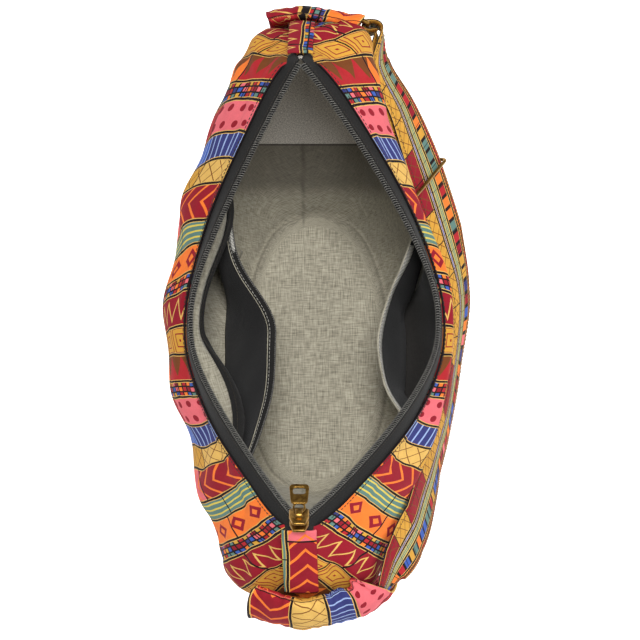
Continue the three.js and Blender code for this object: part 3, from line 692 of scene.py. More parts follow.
def tape_look():
    look = Look("black_tape", roughness=0.85, sheen=0.04)
    u, v = look.cloth_axes()
    twill = ((u + v) * (1 / TWILL)).off_middle()
    lint = look.noise((u, v), 0.9, 4.0)
    look.bumped(twill + lint * 0.6, 0.5, 0.3)
    return look.coloured(look.mix(lint, linear(10, 10, 11), linear(44, 43, 42)))


def black_cloth_look():
    look = Look("black_cloth", roughness=0.95, sheen=0.05)
    u, v = look.cloth_axes()
    look.bumped(weave(u, v, LINING_THREAD), 0.4, 0.3)
    slub = threads(look, u, v, 2.0, 0.2, 3.0)
    return look.coloured(look.mix(slub, linear(12, 12, 13), linear(52, 51, 52)))


def plain_look(name, dark, light, roughness, scale, metallic=0.0):
    """A material that varies a little between two colours by its place on the object."""
    look = Look(name, roughness, metallic)
    mottle = look.noise(look.node("TexCoord", output="Object"), scale, 4.0)
    look.bumped(mottle, 0.3, 0.05)
    return look.coloured(look.mottled(mottle, 2.0, linear(*dark), linear(*light)))


PRINT = print_look("printed_canvas", BODY_BANDS, 6.0)
STRAP_PRINT = print_look("printed_strap", STRAP_BANDS, 1.0)
CHAMBRAY = chambray_look()
TAPE_CLOTH = tape_look()
BLACK_CLOTH = black_cloth_look()
# The coil's own black, lightened to grey in places as painted glints
COIL = plain_look("black_coil_with_painted_glints", (46, 45, 44), (134, 132, 127), 0.35, 900.0)
COIL_CORE = plain_look("coil_core", (4, 4, 5), (14, 14, 15), 0.7, 900.0)
BRASS = plain_look("antique_brass", (86, 60, 25), (172, 132, 64), 0.36, 420.0, 1.0)
WHITE_THREAD = plain_look("white_thread", (190, 187, 178), (240, 238, 230), 0.7, 1500.0)
GREY_THREAD = plain_look("grey_thread", (120, 118, 112), (176, 173, 165), 0.7, 1500.0)
DARK_THREAD = plain_look("dark_thread", (30, 28, 26), (74, 68, 60), 0.7, 1500.0)

# Body and lining

AROUND = 380
RIM_ROWS = 92
LAP_ROWS = 8
LINING_ROWS = 92
SPACING_LEVEL = 5.0
FLOOR_RINGS = (0.02, 0.12, 0.25, 0.38, 0.5, 0.62, 0.74, 0.85, 0.94)
# Where the print of the base starts on the flat cloth
FLOOR_PRINT = 160
# The printed cloth laps over the zip's tape, more towards the ends
LAP_LEAST = 0.02
LAP_LEVEL = 0.34
LAP_LIFT = 2.0
LAP_CLEAR = (8, 12)
LAP_REACH = (0.25, 0.8)
LAP_RISE = (7.7, 8.0)

# Swells above the strap and on the other side: angle, level, spread in angle, spread in level, height
FULLNESS = (
    (30, 6.4, 20, 0.9, 5.0), (58, 6.8, 13, 0.7, 6.0), (75, 6.8, 8, 0.6, 8.0), (-27, 6.3, 15, 0.9, 5.0),
    (-10, 6.3, 9, 0.9, 3.5), (8, 6.4, 9, 0.9, 4.0), (-19, 5.7, 8, 1.2, 3.0), (69, 6.2, 6, 0.8, 9.0),
    (107, 6.3, 5, 0.8, 9.0), (152, 5.3, 9, 1.4, 6.0), (220, 5.4, 9, 1.3, 6.0),
)
FINE_CREASE = 0.8
BROAD_CREASE = 0.9
DRAPE = 1.7
CREASE_LEVELS = ((0.6, 2.0), (7.2, 7.9))
GATHERED_REACH = (0.45, 0.95)
DRAPED_SIDE = (96, 118)
QUARTER_TURN = math.pi / 2
# The print's bands widen above a middle level and narrow below it, by this share over a span of levels
FAN = 0.18
FAN_MIDDLE = 4.5
FAN_SPAN = 3.5
FAN_LOWEST = 2.5


def even_turns():
    """Angles round the bag that lie evenly along its widest level."""
    turns = np.linspace(-90, 270, 3601)
    lengths = arc_lengths(plain_point(turns, SPACING_LEVEL))
    return np.interp(np.arange(AROUND) / AROUND * lengths[-1], lengths, turns)


def cloth_coordinates(angle, level, points):
    """Places on the flat cloth: u along each side from its middle, v down from the rim."""
    turns = angle[0]
    around = np.array([arc_lengths(row) for row in points])
    right_middle = np.array([np.interp(0, turns, row) for row in around])[:, None]
    left_middle = np.array([np.interp(180, turns, row) for row in around])[:, None]
    run = np.where(turns < 90, around - right_middle, left_middle - around)
    fan = 1 - FAN * (np.maximum(level, FAN_LOWEST) - FAN_MIDDLE) / FAN_SPAN
    height = np.stack([arc_lengths(column) for column in points.swapaxes(0, 1)], axis=1)
    return flat_place(run * fan, height[-1:] - height)


def ripple(angle, level, crests, slant, phase=0.0):
    """A wave with so many crests round the bag, which drift as the level rises."""
    return np.sin(np.radians(angle) * crests + slant * level + phase)


def creases(angle, level):
    """Small wrinkles of the canvas, most where it is gathered towards the ends, and its drape on the left."""
    at_end = smoothstep(reach_at(angle), *GATHERED_REACH)
    fine = ripple(angle, level, 37, 2.1) * ripple(angle, level, 9, 1.9)
    broad = ripple(angle, level, 13, -1.3) * ripple(angle, level, 5, 0.8, QUARTER_TURN)
    folds = 1 + ripple(angle, level, 17, 0, 0.5 * np.sin(1.7 * level))
    drape = folds * smoothstep(turn_gap(angle, 0), *DRAPED_SIDE) * (1 - at_end)
    lift = FINE_CREASE * at_end * fine + BROAD_CREASE * broad + DRAPE * drape
    return lift * between(level, *CREASE_LEVELS)


def with_floor(walls, uv, floor_z):
    """Adds the flat base to the wall's rows, ring by ring from its middle."""
    edge = walls[0]
    rings = [edge * np.array((scale, scale, 0)) + np.array((0, 0, floor_z)) for scale in FLOOR_RINGS]
    ring_uv = [flat_place(ring[:, 1], FLOOR_PRINT + ring[:, 0]) for ring in rings]
    return np.concatenate((rings, walls)), np.concatenate((ring_uv, uv))


def lap_level(angle):
    return RIM_LEVEL + LAP_LEAST + LAP_LEVEL * smoothstep(reach_at(angle), *LAP_REACH)


def build_body():
    turns = even_turns()
    lap_share = np.linspace(0, 1, LAP_ROWS + 1)[1:, None]
    wall_levels = np.broadcast_to(np.linspace(0, RIM_LEVEL, RIM_ROWS)[:, None], (RIM_ROWS, AROUND))
    level = np.concatenate((wall_levels, lerp(RIM_LEVEL, lap_level(turns)[None, :], lap_share)))
    angle = np.broadcast_to(turns, level.shape)
    lap = LAP_LIFT * smoothstep(level, *LAP_RISE) * smoothstep(off_crest(angle, level), *LAP_CLEAR)
    rise = creases(angle, level) + swells(FULLNESS, angle, level) + lap
    walls = inside(angle, level, -rise)
    walls[0, :, 2] = 0
    points, uv = with_floor(walls, cloth_coordinates(angle, level, walls), 0.0)
    sheet("bag_body", points, uv, PRINT, "body_shell", CANVAS, wrapped=True, capped=True)


ZIP_POCKET = {"from": 141, "to": 221, "bottom": 1.5, "top": 5.4, "gape": 62, "rise": -4}
SLIP_POCKET = {"from": -25, "to": 21, "bottom": 1.5, "top": 5.8, "gape": 46, "rise": 0}
POCKET_CLOTH = 1.4
POCKET_GAP = 1.7
# The lining hangs loose above the zip pocket, most towards its near end
LOOSE_DEPTH = 13
LOOSE_NEAR_DEPTH = 33
LOOSE_FAR_DEPTH = 17
LOOSE_FAR_SHARE = 0.2
LOOSE_FAR_SPREAD = 0.13
LOOSE_GROWTH = (0.45, 0.85)
LOOSE_LEVEL = 6.9
LOOSE_SPREAD = 1.1
LINING_FOLD_LEVELS = ((0.5, 1.6), (6.8, 7.7))
SLOW_FOLD = 1.2
QUICK_FOLD = 0.5
# A long fold of the lining on the base and one by the right wall:
# x, slant, spread, where it rises and falls along y, height
FLOOR_FOLDS = ((14, 0.05, 7, (-40, 0), (45, 70), 2.8), (47, -0.04, 5, (-105, -70), (10, 45), 3.4))
NEAR_CREASE = 1.5
FLOOR_SWELL = 0.8
# The rounding of the lining where its walls meet its base, and the level that it reaches
LINING_CORNER = 4
LINING_CORNER_LEVEL = 1.1
LINING_CORNER_SIDES = (0.15, 0.5)
# The levels where the lining closes up to the zip's tape
LINING_CLOSING = (7.75, 8.15)
# The facing inside the far end hangs down to a straight hem, where y + slope * z reaches this
FACING_SLOPE = 0.3
FACING_HEM = 169.4
END_SEAM_X = -10
END_SEAM_FROM = 90
END_SEAM_SPREAD = 1.2
# Painted shade: the lining is darkened below the facing's hem, towards the far end
PAINTED_SHADE_BELOW_HEM = (-46, -30)
PAINTED_SHADE_FROM = (60, 100)
BASE_SEAM_LEVEL = 0.35
BASE_SEAM_SPREAD = 0.25
BASE_SEAM_SHADE = 0.7
# The lining is paler behind the zip pocket, partly as painted light on that wall, and black behind the slip
# pocket up to an arch
PALE_AND_PAINTED_LIGHT_LEVELS = ((2.5, 3.0), (6.2, 6.7))
BLACK_FROM = (1.2, 1.5)
BLACK_TOP = 4.4
BLACK_ARCH = 1.1
BLACK_FADE = 0.15


def pocket_share(pocket, angle):
    """0 to 1 along a pocket, from its first angle to its last."""
    turn = (np.asarray(angle, float) - pocket["from"] + 90) % 360 - 90
    return turn / (pocket["to"] - pocket["from"])


def opening_at(share):
    return np.sin(np.pi * np.clip(share, 0, 1)) ** 1.2


def zip_pocket_opening(share):
    """How far the zip pocket stands open: a little at its far end, and most from its middle on."""
    arch = np.sin(np.pi * np.clip(share, 0, 1))
    return np.where(share < 0.5, 0.36 * arch ** 0.3 + 0.64 * arch ** 6, arch ** 1.15)


def looseness(angle, level):
    share = pocket_share(ZIP_POCKET, angle)
    grown = smoothstep(share, *LOOSE_GROWTH)
    far_swell = LOOSE_FAR_DEPTH * bump(share - LOOSE_FAR_SHARE, LOOSE_FAR_SPREAD)
    depth = (LOOSE_DEPTH + LOOSE_NEAR_DEPTH * grown) * opening_at(share) + far_swell
    return depth * bump(level - LOOSE_LEVEL, LOOSE_SPREAD)


def lining_folds(angle, level):
    """Soft folds of the loose lining, as a depth away from the wall."""
    slow = 1 + ripple(angle, level, 6, 0.9) * ripple(angle, level, 3, -1.1, QUARTER_TURN)
    quick = 1 + ripple(angle, level, 21, 2.3)
    return (SLOW_FOLD * slow + QUICK_FOLD * quick) * between(level, *LINING_FOLD_LEVELS)


def floor_ripples(points):
    """Folds of the lining on the base: a long one, one by the right wall, and creases at the near end."""
    x, y = points[..., 0], points[..., 1]
    folds = sum(
        height * bump(x - middle - slant * y, spread) * between(y, rise, fall)
        for middle, slant, spread, rise, fall, height in FLOOR_FOLDS
    )
    slanting = NEAR_CREASE * np.sin((y + 0.55 * x) / 4.6) * bump(y + 82, 20) * bump(x - 5, 32)
    swell = FLOOR_SWELL * (1 + np.sin(x / 17 + 0.4) * np.sin(y / 29))
    return np.maximum(folds + slanting + swell, 0)


def lining_depth(angle, level):
    """How far inside the canvas the lining's face lies; it closes up to the zip's tape at the top."""
    corner = LINING_CORNER * (1 - smoothstep(level, 0, LINING_CORNER_LEVEL)) ** 2
    corner = corner * smoothstep(np.abs(np.cos(np.radians(angle))), *LINING_CORNER_SIDES)
    loose = LINING_INNER + looseness(angle, level) + lining_folds(angle, level) + corner
    return lerp(loose, LINING_AT_TAPE, smoothstep(level, *LINING_CLOSING))


def lining_shades(angle, level, walls):
    """Where the lining's walls are sewn, faced, darkened as painted shade, pale by the zip pocket (partly
    painted light) or black in the slip pocket.
    """
    x, y, z = np.moveaxis(walls, -1, 0)
    hem = y + FACING_SLOPE * z - FACING_HEM
    base_seam = BASE_SEAM_SHADE * bump(level - BASE_SEAM_LEVEL, BASE_SEAM_SPREAD)
    end_seam = bump(x - END_SEAM_X, END_SEAM_SPREAD) * (np.abs(y) > END_SEAM_FROM)
    end_seam = end_seam * (1 - smoothstep(hem, -2, 2))
    behind_zip = opening_at(pocket_share(ZIP_POCKET, angle))
    in_slip = opening_at(pocket_share(SLIP_POCKET, angle))
    black_top = BLACK_TOP + BLACK_ARCH * in_slip
    black_levels = between(level, BLACK_FROM, (black_top, black_top + BLACK_FADE))
    return {
        # partly painted light: paler lining behind the zip pocket
        "pale_and_painted_light": smoothstep(behind_zip, 0, 0.05) * between(level, *PALE_AND_PAINTED_LIGHT_LEVELS),
        "hem": np.maximum(hem + HEM_REACH, 0),
        "seam": np.maximum(base_seam, end_seam),
        # painted shade below the far facing's hem
        "painted_shade": smoothstep(hem, *PAINTED_SHADE_BELOW_HEM) * smoothstep(y, *PAINTED_SHADE_FROM),
        "black": smoothstep(in_slip, 0.03, 0.1) * black_levels,
    }


def build_lining():
    angle, level = np.meshgrid(even_turns(), np.linspace(0, LINING_TOP, LINING_ROWS))
    walls = inside(angle, level, lining_depth(angle, level))
    walls[0, :, 2] = LINING_INNER
    points, uv = with_floor(walls, cloth_coordinates(angle, level, walls), LINING_INNER)
    floor = points[:len(FLOOR_RINGS)]
    floor[..., 2] += floor_ripples(floor)
    plain = np.zeros(floor.shape[:2])
    shades = {
        shade: np.concatenate((plain, values)) for shade, values in lining_shades(angle, level, walls).items()
    }
    sheet(
        "bag_lining", points, uv, CHAMBRAY, "lining", LINING_INNER - LINING_OUTER,
        wrapped=True, capped=True, flipped=True, shades=shades,
    )


build_body()
build_lining()

# Mouth zip

ZIP_COLUMNS = 300
TAPE_ROWS = 10
TAPE_WIDTH = 14
TAPE_LIFT = 0.1
TAPE_UNDER_RIM = 0.02
TAPE_CROWN = 0.25
TAPE_FLUTTER = 0.12
TAPE_FLUTTERS = 31
TAPE_END_CUT = 7
COIL_END_CUT = 11
LAP_STITCH_END_CUT = 16
RAIL_WIDTH = 4.6
RAIL_THICKNESS = 2.8
COIL_PITCH = 1.9
COIL_WIRE = 0.38
COIL_INSET = 0.4
CORE_INSET = 0.9
# The coil leans into the mouth: its share up along the tape and its share inwards
COIL_LEAN = (0.6, 0.8)
# Stitches: length, pitch and radius
COIL_STITCH = (1.5, 2.4, 0.22)
RIM_STITCH = (2.4, 3.4, 0.3)
THREAD_LIFT = 0.1
COIL_SEAM_DROP = 1.2
COIL_SEAM_LIFT = 0.25
# How far the rim's stitches lie below the lap's edge, in levels
RIM_STITCH_DROP = 0.1


def zip_turns(side, cut):
    """Angles along one side of the zip, evenly spaced along it."""
    fine = np.linspace(-90 + cut, 90 - cut, 2001)
    lengths = arc_lengths(plain_point(fine, ZIP_LEVEL))
    turn = np.interp(np.linspace(0, lengths[-1], ZIP_COLUMNS), lengths, fine)
    return turn if side > 0 else 180 - turn


def tape_cloth(node, points, uv, thickness, flipped):
    sheet(f"{node}_cloth", points, uv, TAPE_CLOTH, node, thickness, flipped=flipped)


def build_tape(name, side):
    angle, across = np.meshgrid(zip_turns(side, TAPE_END_CUT), np.linspace(0, 1, TAPE_ROWS))
    level = lerp(RIM_LEVEL - TAPE_UNDER_RIM, ZIP_LEVEL, across)
    flutter = TAPE_FLUTTER * np.sin(np.radians(angle) * TAPE_FLUTTERS) * across
    swell = TAPE_LIFT + TAPE_CROWN * np.sin(np.pi * across) + flutter
    points = lifted(plain_point, angle, level, swell)
    uv = flat_place(arc_lengths(points[TAPE_ROWS // 2]), across * TAPE_WIDTH)
    tape_cloth(f"zip_tape_{name}", points, uv, TAPE, side < 0)


def build_coil(name, side):
    turn = zip_turns(side, COIL_END_CUT)
    edge = plain_point(turn, ZIP_LEVEL)
    upright = up_the_cloth(turn, ZIP_LEVEL)
    sideways = normal_of(plain_point, turn, np.full(len(turn), ZIP_LEVEL))
    up = unit(upright * COIL_LEAN[0] - sideways * COIL_LEAN[1])
    out = unit(sideways * COIL_LEAN[0] + upright * COIL_LEAN[1])
    middle = edge + up * RAIL_WIDTH / 2
    origins, ups, outs = spaced(middle, up, out, pitch=COIL_PITCH)
    axes = (directions(origins), unit(ups), unit(outs))
    half_sizes = np.array((RAIL_WIDTH, RAIL_THICKNESS)) / 2
    turn_shape = coil_turn(*(half_sizes - COIL_INSET), COIL_WIRE, COIL_PITCH)
    copies(f"zip_coil_{name}", turn_shape, origins, axes, COIL, f"zip_teeth_{name}")
    core_width, core_height = half_sizes - CORE_INSET
    tube(f"zip_core_{name}", ovals(middle, up * core_width, out * core_height, 8), COIL_CORE)
    seam = edge - upright * COIL_SEAM_DROP + sideways * COIL_SEAM_LIFT
    stitch_row(f"zip_seam_{name}", seam, sideways, DARK_THREAD, COIL_STITCH)


def build_lap_stitches(name, side):
    turn = zip_turns(side, LAP_STITCH_END_CUT)
    level = lap_level(turn) - RIM_STITCH_DROP
    line = lifted(plain_point, turn, level, LAP_LIFT + THREAD_LIFT)
    out = normal_of(plain_point, turn, level)
    stitch_row(f"zip_rim_stitches_{name}", line, out, DARK_THREAD, RIM_STITCH)


for zip_name, zip_side in (("left", -1), ("right", 1)):
    build_tape(zip_name, zip_side)
    build_coil(zip_name, zip_side)
    build_lap_stitches(zip_name, zip_side)

# End sleeves and the tabs over the zip's ends

CASING_HALF_HEIGHT = 23
CASING_LEVEL = 6.0
CASING_ROUNDNESS = 0.75
CASING_GAP = 1.7
# which end of the bag, first x, last x, half thickness, how straight it lies
CASING_ENDS = {"far": (1, -28, 17, 6, 0.6), "near": (-1, -36, 33, 7, 0.0)}
# How much further the cloth of each sleeve reaches than its solid
SLEEVE_LAP = {"far": 5, "near": 11}
SLEEVE_SIDES = 72
SLEEVE_STEPS = 60
# Where the prints of the sleeves and the tabs start on the flat cloth
SLEEVE_PRINT = {"far": 30, "near": 105}
TAB_PRINT = {"far": 21, "near": 77}
NEAR_MOUTH_SWELL = 1.25
NEAR_MOUTH_CUT = 30
SLEEVE_PINCH = 0.035
TAB_WIDTHS = {"far": 17, "near": 22}
TAB_LIFT = 0.8
TAB_THICKNESS = 1.8
TAB_CLOTH = 1.4
TAB_GAP = 0.6
TAB_TOP = 8.62
TAB_ROWS = 40
TAB_COLUMNS = 25
TAB_WAVE = 0.25


def climb(angle, distance):
    """The level that lies so far up the cloth from the sleeves' level."""
    levels = np.linspace(0.5, ZIP_LEVEL, 341)
    lengths = arc_lengths(plain_point(angle, levels))
    return np.interp(distance, lengths - np.interp(CASING_LEVEL, levels, lengths), levels)


def angle_at_x(x, end):
    """The angle round the bag where the sleeves' level reaches x, at the far end (1) or the near (-1)."""
    side = -1 if x < level_row(CASING_LEVEL)[END_SHIFT_COLUMN] else 1
    turns = np.linspace(20, 90, 1401)
    angles = end * turns if side > 0 else 180 - end * turns
    reached = side * (plain_point(angles, CASING_LEVEL)[:, 0] - x)
    return angles[np.argmin(np.abs(reached))]


def casing_ring(x, end, turn, depth, swell):
    """A ring round a sleeve at x: it hugs the bag, or runs straight from the bag's crest."""
    _, _, _, half_thickness, straight = CASING_ENDS["far" if end > 0 else "near"]
    angle = angle_at_x(x, end)

    def flat(value):
        return np.sign(value) * np.abs(value) ** CASING_ROUNDNESS
    thickness = half_thickness * swell
    height = (CASING_HALF_HEIGHT - depth) * flat(np.cos(turn))
    out = thickness + (thickness - depth) * flat(np.sin(turn)) + CASING_GAP
    level = climb(angle, height)
    hugging = lifted(plain_point, angle, level, out + np.maximum(fold_height(angle, level), 0))
    crest = 90.0 * end
    level_run = lifted(plain_point, crest, climb(crest, height), out)
    level_run[:, 0] = hugging[:, 0]
    return lerp(hugging, level_run, straight)


def sleeve_ring(name, share):
    """A ring of a sleeve's cloth and its x; the near sleeve swells and is cut back at its open end."""
    end, first, last, _, _ = CASING_ENDS[name]
    turn = circle(SLEEVE_SIDES)
    x = lerp(first, last + SLEEVE_LAP[name], share)
    ring = casing_ring(x, end, turn, 0.0, lerp(1, NEAR_MOUTH_SWELL, share ** 3) if end < 0 else 1)
    middle = ring.mean(axis=0)
    if end < 0:
        run = unit(middle - casing_ring(x - 2, end, turn, 0.0, 1.0).mean(axis=0))
        cut_back = NEAR_MOUTH_CUT * share ** 5 * (0.5 + 0.5 * np.cos(turn))
        ring = ring - run * cut_back[:, None]
    pinch = 1 - SLEEVE_PINCH * (1 + math.sin(x * 0.9)) * abs(math.sin(x * 0.21 + end))
    return middle + (ring - middle) * pinch, x


def build_casing(name):
    rows = [sleeve_ring(name, step / SLEEVE_STEPS) for step in range(SLEEVE_STEPS + 1)]
    points = np.array([ring for ring, _ in rows])
    around = np.array([arc_lengths(ring) for ring in points])
    along = np.array([x for _, x in rows])[:, None] + SLEEVE_PRINT[name]
    sheet(
        f"sleeve_{name}", points, flat_place(along, around), PRINT, f"casing_{name}", CANVAS,
        wrapped=True, flipped=name == "far",
    )


def build_tab(name):
    crest = 90.0 * CASING_ENDS[name][0]
    level = np.linspace(climb(crest, CASING_HALF_HEIGHT + TAB_GAP), TAB_TOP, TAB_ROWS)
    spine = plain_point(crest, level)
    normal = normal_of(plain_point, crest, level)
    share = np.linspace(-0.5, 0.5, TAB_COLUMNS)
    crown = TAB_LIFT + TAB_THICKNESS * (1 - (2 * np.abs(share)) ** 4 * 0.5)
    waves = TAB_WAVE * np.sin(np.linspace(0, 19, TAB_ROWS))[:, None] * np.cos(share * 9)[None, :]
    points = spine[:, None, :] + normal[:, None, :] * (crown[None, :] + waves)[..., None]
    points[..., 0] += share * TAB_WIDTHS[name]
    uv = flat_place(share[None, :] * TAB_WIDTHS[name] + TAB_PRINT[name], arc_lengths(spine)[:, None])
    sheet(f"tab_{name}", points, uv, PRINT, f"zip_tab_{name}", TAB_CLOTH, flipped=name == "far")


for casing_name in CASING_ENDS:
    build_casing(casing_name)
    build_tab(casing_name)

# Pockets

POCKET_COLUMNS = 110
POCKET_ROWS = 40
POCKET_HEIGHT = 80
POCKET_SWAY = 0.4
OVERLOCK_PITCH = 1.05
OVERLOCK_RADIUS = 0.38
OVERLOCK_SLANT = 0.25
SLIP_OVERLOCK = 8.0
ZIP_OVERLOCK = 3.2
# The stretches of the pockets' edges that are overlocked, as shares of the edge
SLIP_OVERLOCK_RUN = (0.03, 0.97)
ZIP_OVERLOCK_RUNS = {"far": (0.04, 0.33), "near": (0.85, 0.97)}
# How far the overlock's last stitches lie under the tape's face
OVERLOCK_SINK = 0.9
POCKET_TAPE_THICKNESS = 0.9
INNER_TAPE_WIDTH = 6.0
# The inner tape leans into the bag: its share along the panel and its share inwards
INNER_TAPE_LEAN = (0.6, 0.8)
INNER_TAPE_ROWS = 7
INNER_STITCH_ROW = 2
OUTER_TAPE_ROWS = 8
OUTER_TAPE_WIDTH = 12
OUTER_TAPE_FROM = 148
OUTER_TAPE_LOW = 6.6
POCKET_TAPE_HIGH = 7.65
POCKET_TAPE_GAP = 1.5
# Stitches and teeth: length, pitch and radius
INNER_STITCH = (2.3, 3.0, 0.3)
OUTER_STITCH = (2.2, 3.0, 0.3)
POCKET_TOOTH = (1.2, 1.5, 0.6)


def pocket_points(pocket, share, rise, opening):
    """Points of a pocket's panel, sewn to the wall along its sides and bottom, and gaping at its top."""
    angle = lerp(pocket["from"], pocket["to"], share)
    level = lerp(pocket["bottom"], pocket["top"], rise)
    sewn = smoothstep(rise, 0, 0.15) * smoothstep(np.minimum(share, 1 - share), 0, 0.04)
    depth = LINING_INNER + lining_folds(angle, level) + POCKET_GAP * sewn
    inward = np.where(np.cos(np.radians(angle)) < 0, 1, -1)
    low, high = (inside(angle, np.full(angle.shape, pocket[edge]), depth) for edge in ("bottom", "top"))
    flat = lerp(low, high, rise[..., None])
    points = lerp(inside(angle, level, depth), flat, smoothstep(opening, 0, 0.7)[..., None])
    points[..., 0] += inward * pocket["gape"] * opening * rise
    points[..., 2] += pocket["rise"] * opening * rise
    return points


def pocket_grid(rows):
    return np.meshgrid(np.linspace(0, 1, POCKET_COLUMNS), np.linspace(0, 1, rows))


def build_pocket(node, pocket, inward, opening):
    """A pocket's panel, grey towards the bag and black towards the wall; returns its rows of points."""
    share, rise = pocket_grid(POCKET_ROWS)
    points = pocket_points(pocket, share, rise, opening(share))
    sway = POCKET_SWAY * np.sin(share * 23 + rise * 3) * np.sin(np.pi * share) * rise
    points[..., 0] += inward * (POCKET_CLOTH + sway)
    uv = flat_place(arc_lengths(points[-1]), rise * POCKET_HEIGHT)
    sheet(
        f"{node}_cloth", points, uv, CHAMBRAY, node, POCKET_CLOTH, flipped=True, back=BLACK_CLOTH,
    )
    return points


def overlock(name, edge, down, up, depth):
    """Close stitches over an edge of cloth: down runs from the edge into the cloth, up stands on its face."""
    origins, downs, ups = spaced(edge + down * depth / 2, down, up, pitch=OVERLOCK_PITCH)
    slanted = unit(downs + directions(origins) * OVERLOCK_SLANT)
    axes = (slanted, np.cross(ups, slanted), ups)
    copies(name, capsule(depth, OVERLOCK_RADIUS), origins, axes, WHITE_THREAD)


def columns_between(points, shares):
    first, last = (int(share * (points.shape[1] - 1)) for share in shares)
    return slice(first, last)


def build_slip_overlock(panel):
    """The overlocked top edge of the slip pocket, seen on the side towards the wall."""
    here = columns_between(panel, SLIP_OVERLOCK_RUN)
    edge = panel[-1, here]
    down = unit(panel[-4, here] - edge)
    wallward = unit(np.cross(directions(edge), down))
    wallward *= np.sign(wallward[:, :1])
    overlock("slip_pocket_overlock", edge + wallward * (POCKET_CLOTH + 0.25), down, wallward, SLIP_OVERLOCK)


def build_inner_tape(panel):
    """The tape on the zip pocket's panel: it leans over into the bag above the panel's top edge."""
    top = panel[-1]
    slope = unit(top - panel[-6])
    lean = unit(slope * INNER_TAPE_LEAN[0] + np.array((INNER_TAPE_LEAN[1], 0, 0)))
    share = np.linspace(0, 1, INNER_TAPE_ROWS)[:, None, None]
    ends = np.sin(np.pi * np.linspace(0.04, 0.96, panel.shape[1])) ** 0.8
    width = (INNER_TAPE_WIDTH * ends)[None, :, None]
    points = top[None] + lerp(slope, lean, share) * width * share
    uv = flat_place(arc_lengths(top), share[..., 0] * INNER_TAPE_WIDTH)
    node = "pocket_tape_inner"
    tape_cloth(node, points, uv, POCKET_TAPE_THICKNESS, True)
    upper = np.cross(directions(top), lean)
    upper *= np.sign(upper[:, 2:3])
    lift = POCKET_TAPE_THICKNESS + THREAD_LIFT
    stitched = points[INNER_STITCH_ROW] + upper * lift
    stitch_row(f"{node}_stitches", stitched, upper, GREY_THREAD, INNER_STITCH)
    stitch_row(f"{node}_teeth", points[-1] + upper * lift, upper, COIL, POCKET_TOOTH)
    for name, shares in ZIP_OVERLOCK_RUNS.items():
        here = columns_between(points, shares)
        edge = points[-1, here]
        sink = OVERLOCK_SINK * smoothstep(np.linspace(0, 1, len(edge)), 0.8, 1)[:, None]
        down = unit(points[-4, here] - edge)
        raised = edge + upper[here] * (lift - sink)
        overlock(f"zip_pocket_overlock_{name}", raised, down, upper[here], ZIP_OVERLOCK)


def build_outer_tape():
    """The tape on the wall above the zip pocket, which hangs with the loose lining."""
    share, rise = pocket_grid(OUTER_TAPE_ROWS)
    angle = lerp(OUTER_TAPE_FROM, ZIP_POCKET["to"], share)
    level = lerp(OUTER_TAPE_LOW, POCKET_TAPE_HIGH, rise)
    cloth = inside(angle, level, lining_depth(angle, level))
    inward = unit(np.cross(np.gradient(cloth, axis=0), np.gradient(cloth, axis=1)))
    points = cloth + inward * POCKET_TAPE_GAP
    uv = flat_place(arc_lengths(points[0]), rise * OUTER_TAPE_WIDTH)
    node = "pocket_tape_outer"
    tape_cloth(node, points, uv, POCKET_TAPE_THICKNESS, True)
    stitch_row(f"{node}_teeth", points[0], inward[0], COIL, POCKET_TOOTH, lift=0.3)
    stitch_row(f"{node}_stitches", points[-2], inward[-2], DARK_THREAD, OUTER_STITCH)


zip_panel = build_pocket("zip_pocket_panel", ZIP_POCKET, 1, zip_pocket_opening)
slip_panel = build_pocket("slip_pocket_panel", SLIP_POCKET, -1, opening_at)
build_slip_overlock(slip_panel)
build_inner_tape(zip_panel)
build_outer_tape()

# Sliders and pulls

SLIDER_WIDTH = 12.5
SLIDER_LENGTH = 17
SLIDER_HEIGHT = 7.5
SLIDER_TILT = -49
SLIDER_FORWARD = 3.2
SLIDER_UP = 1
SLIDER_PLATE = 2.0
SLIDER_BASE_SCALE = 0.96
POST_FORWARD = 4.5
# width, length and corner of the post between the slider's plates
POST = (4, 5, 1)
# Corners of the slider's outline, as shares of its half width and half length
SLIDER_CORNERS = ((0.62, -1), (1, -0.2), (1, 0.75), (0.6, 1))
# width, height, length and wire of the crowns that hold the pulls
CROWN = (4.4, 3.6, 8, 1.4)
POCKET_CROWN = (2, 3.5, 6, 1.2)
CROWN_ROOT = 0.6
EYE_WIRE = 1.2
EYE_PLAY = 0.6
EYE_LIFT = 1.1
EYE_LAP = 0.9
# width, length, thickness, slot length, slot width and length of the eye
PULL = (12.5, 21, 1.6, 5, 8, 6.2)
POCKET_PULL = (5.5, 15, 1.2, 3, 3, 4.5)
PULL_TAPER = 0.16
PULL_DROOP = -30
POCKET_SLIDER_ANGLE = 210.48
POCKET_SLIDER_LEVEL = 6.3
POCKET_SLIDER_DEPTH = 18.8
POCKET_SLIDER_SIZE = (6.5, 8, 3)


def moved(place, x, y, z):
    return (in_frame((x, y, z), place),) + tuple(place[1:])


def tilted(origin, degrees):
    """A frame that is turned about the bag's x."""
    turn = math.radians(degrees)
    return (
        np.asarray(origin, float), np.array((1.0, 0, 0)),
        np.array((0, math.cos(turn), math.sin(turn))), np.array((0, -math.sin(turn), math.cos(turn))),
    )


def soften(obj, width):
    bevel = obj.modifiers.new("soft_edges", "BEVEL")
    bevel.width = width * MM
    bevel.segments = 2
    bevel.limit_method = "ANGLE"
    bevel.angle_limit = math.radians(35)


def wire_loop(name, outline, place, wire, node=None, sides=14, body=BODY):
    """A brass wire bent to an outline, which lies along a place's first two axes."""
    origin, x, y = place[:3]
    route = origin + outline[:, :1] * x + outline[:, 1:] * y
    plane = np.broadcast_to(unit(np.cross(x, y)), route.shape)
    tangents = unit(np.roll(route, -1, axis=0) - np.roll(route, 1, axis=0))
    sections = ovals(route, np.cross(tangents, plane) * wire / 2, plane * wire / 2, sides)
    tube(name, sections, BRASS, node, closed=True, body=body)


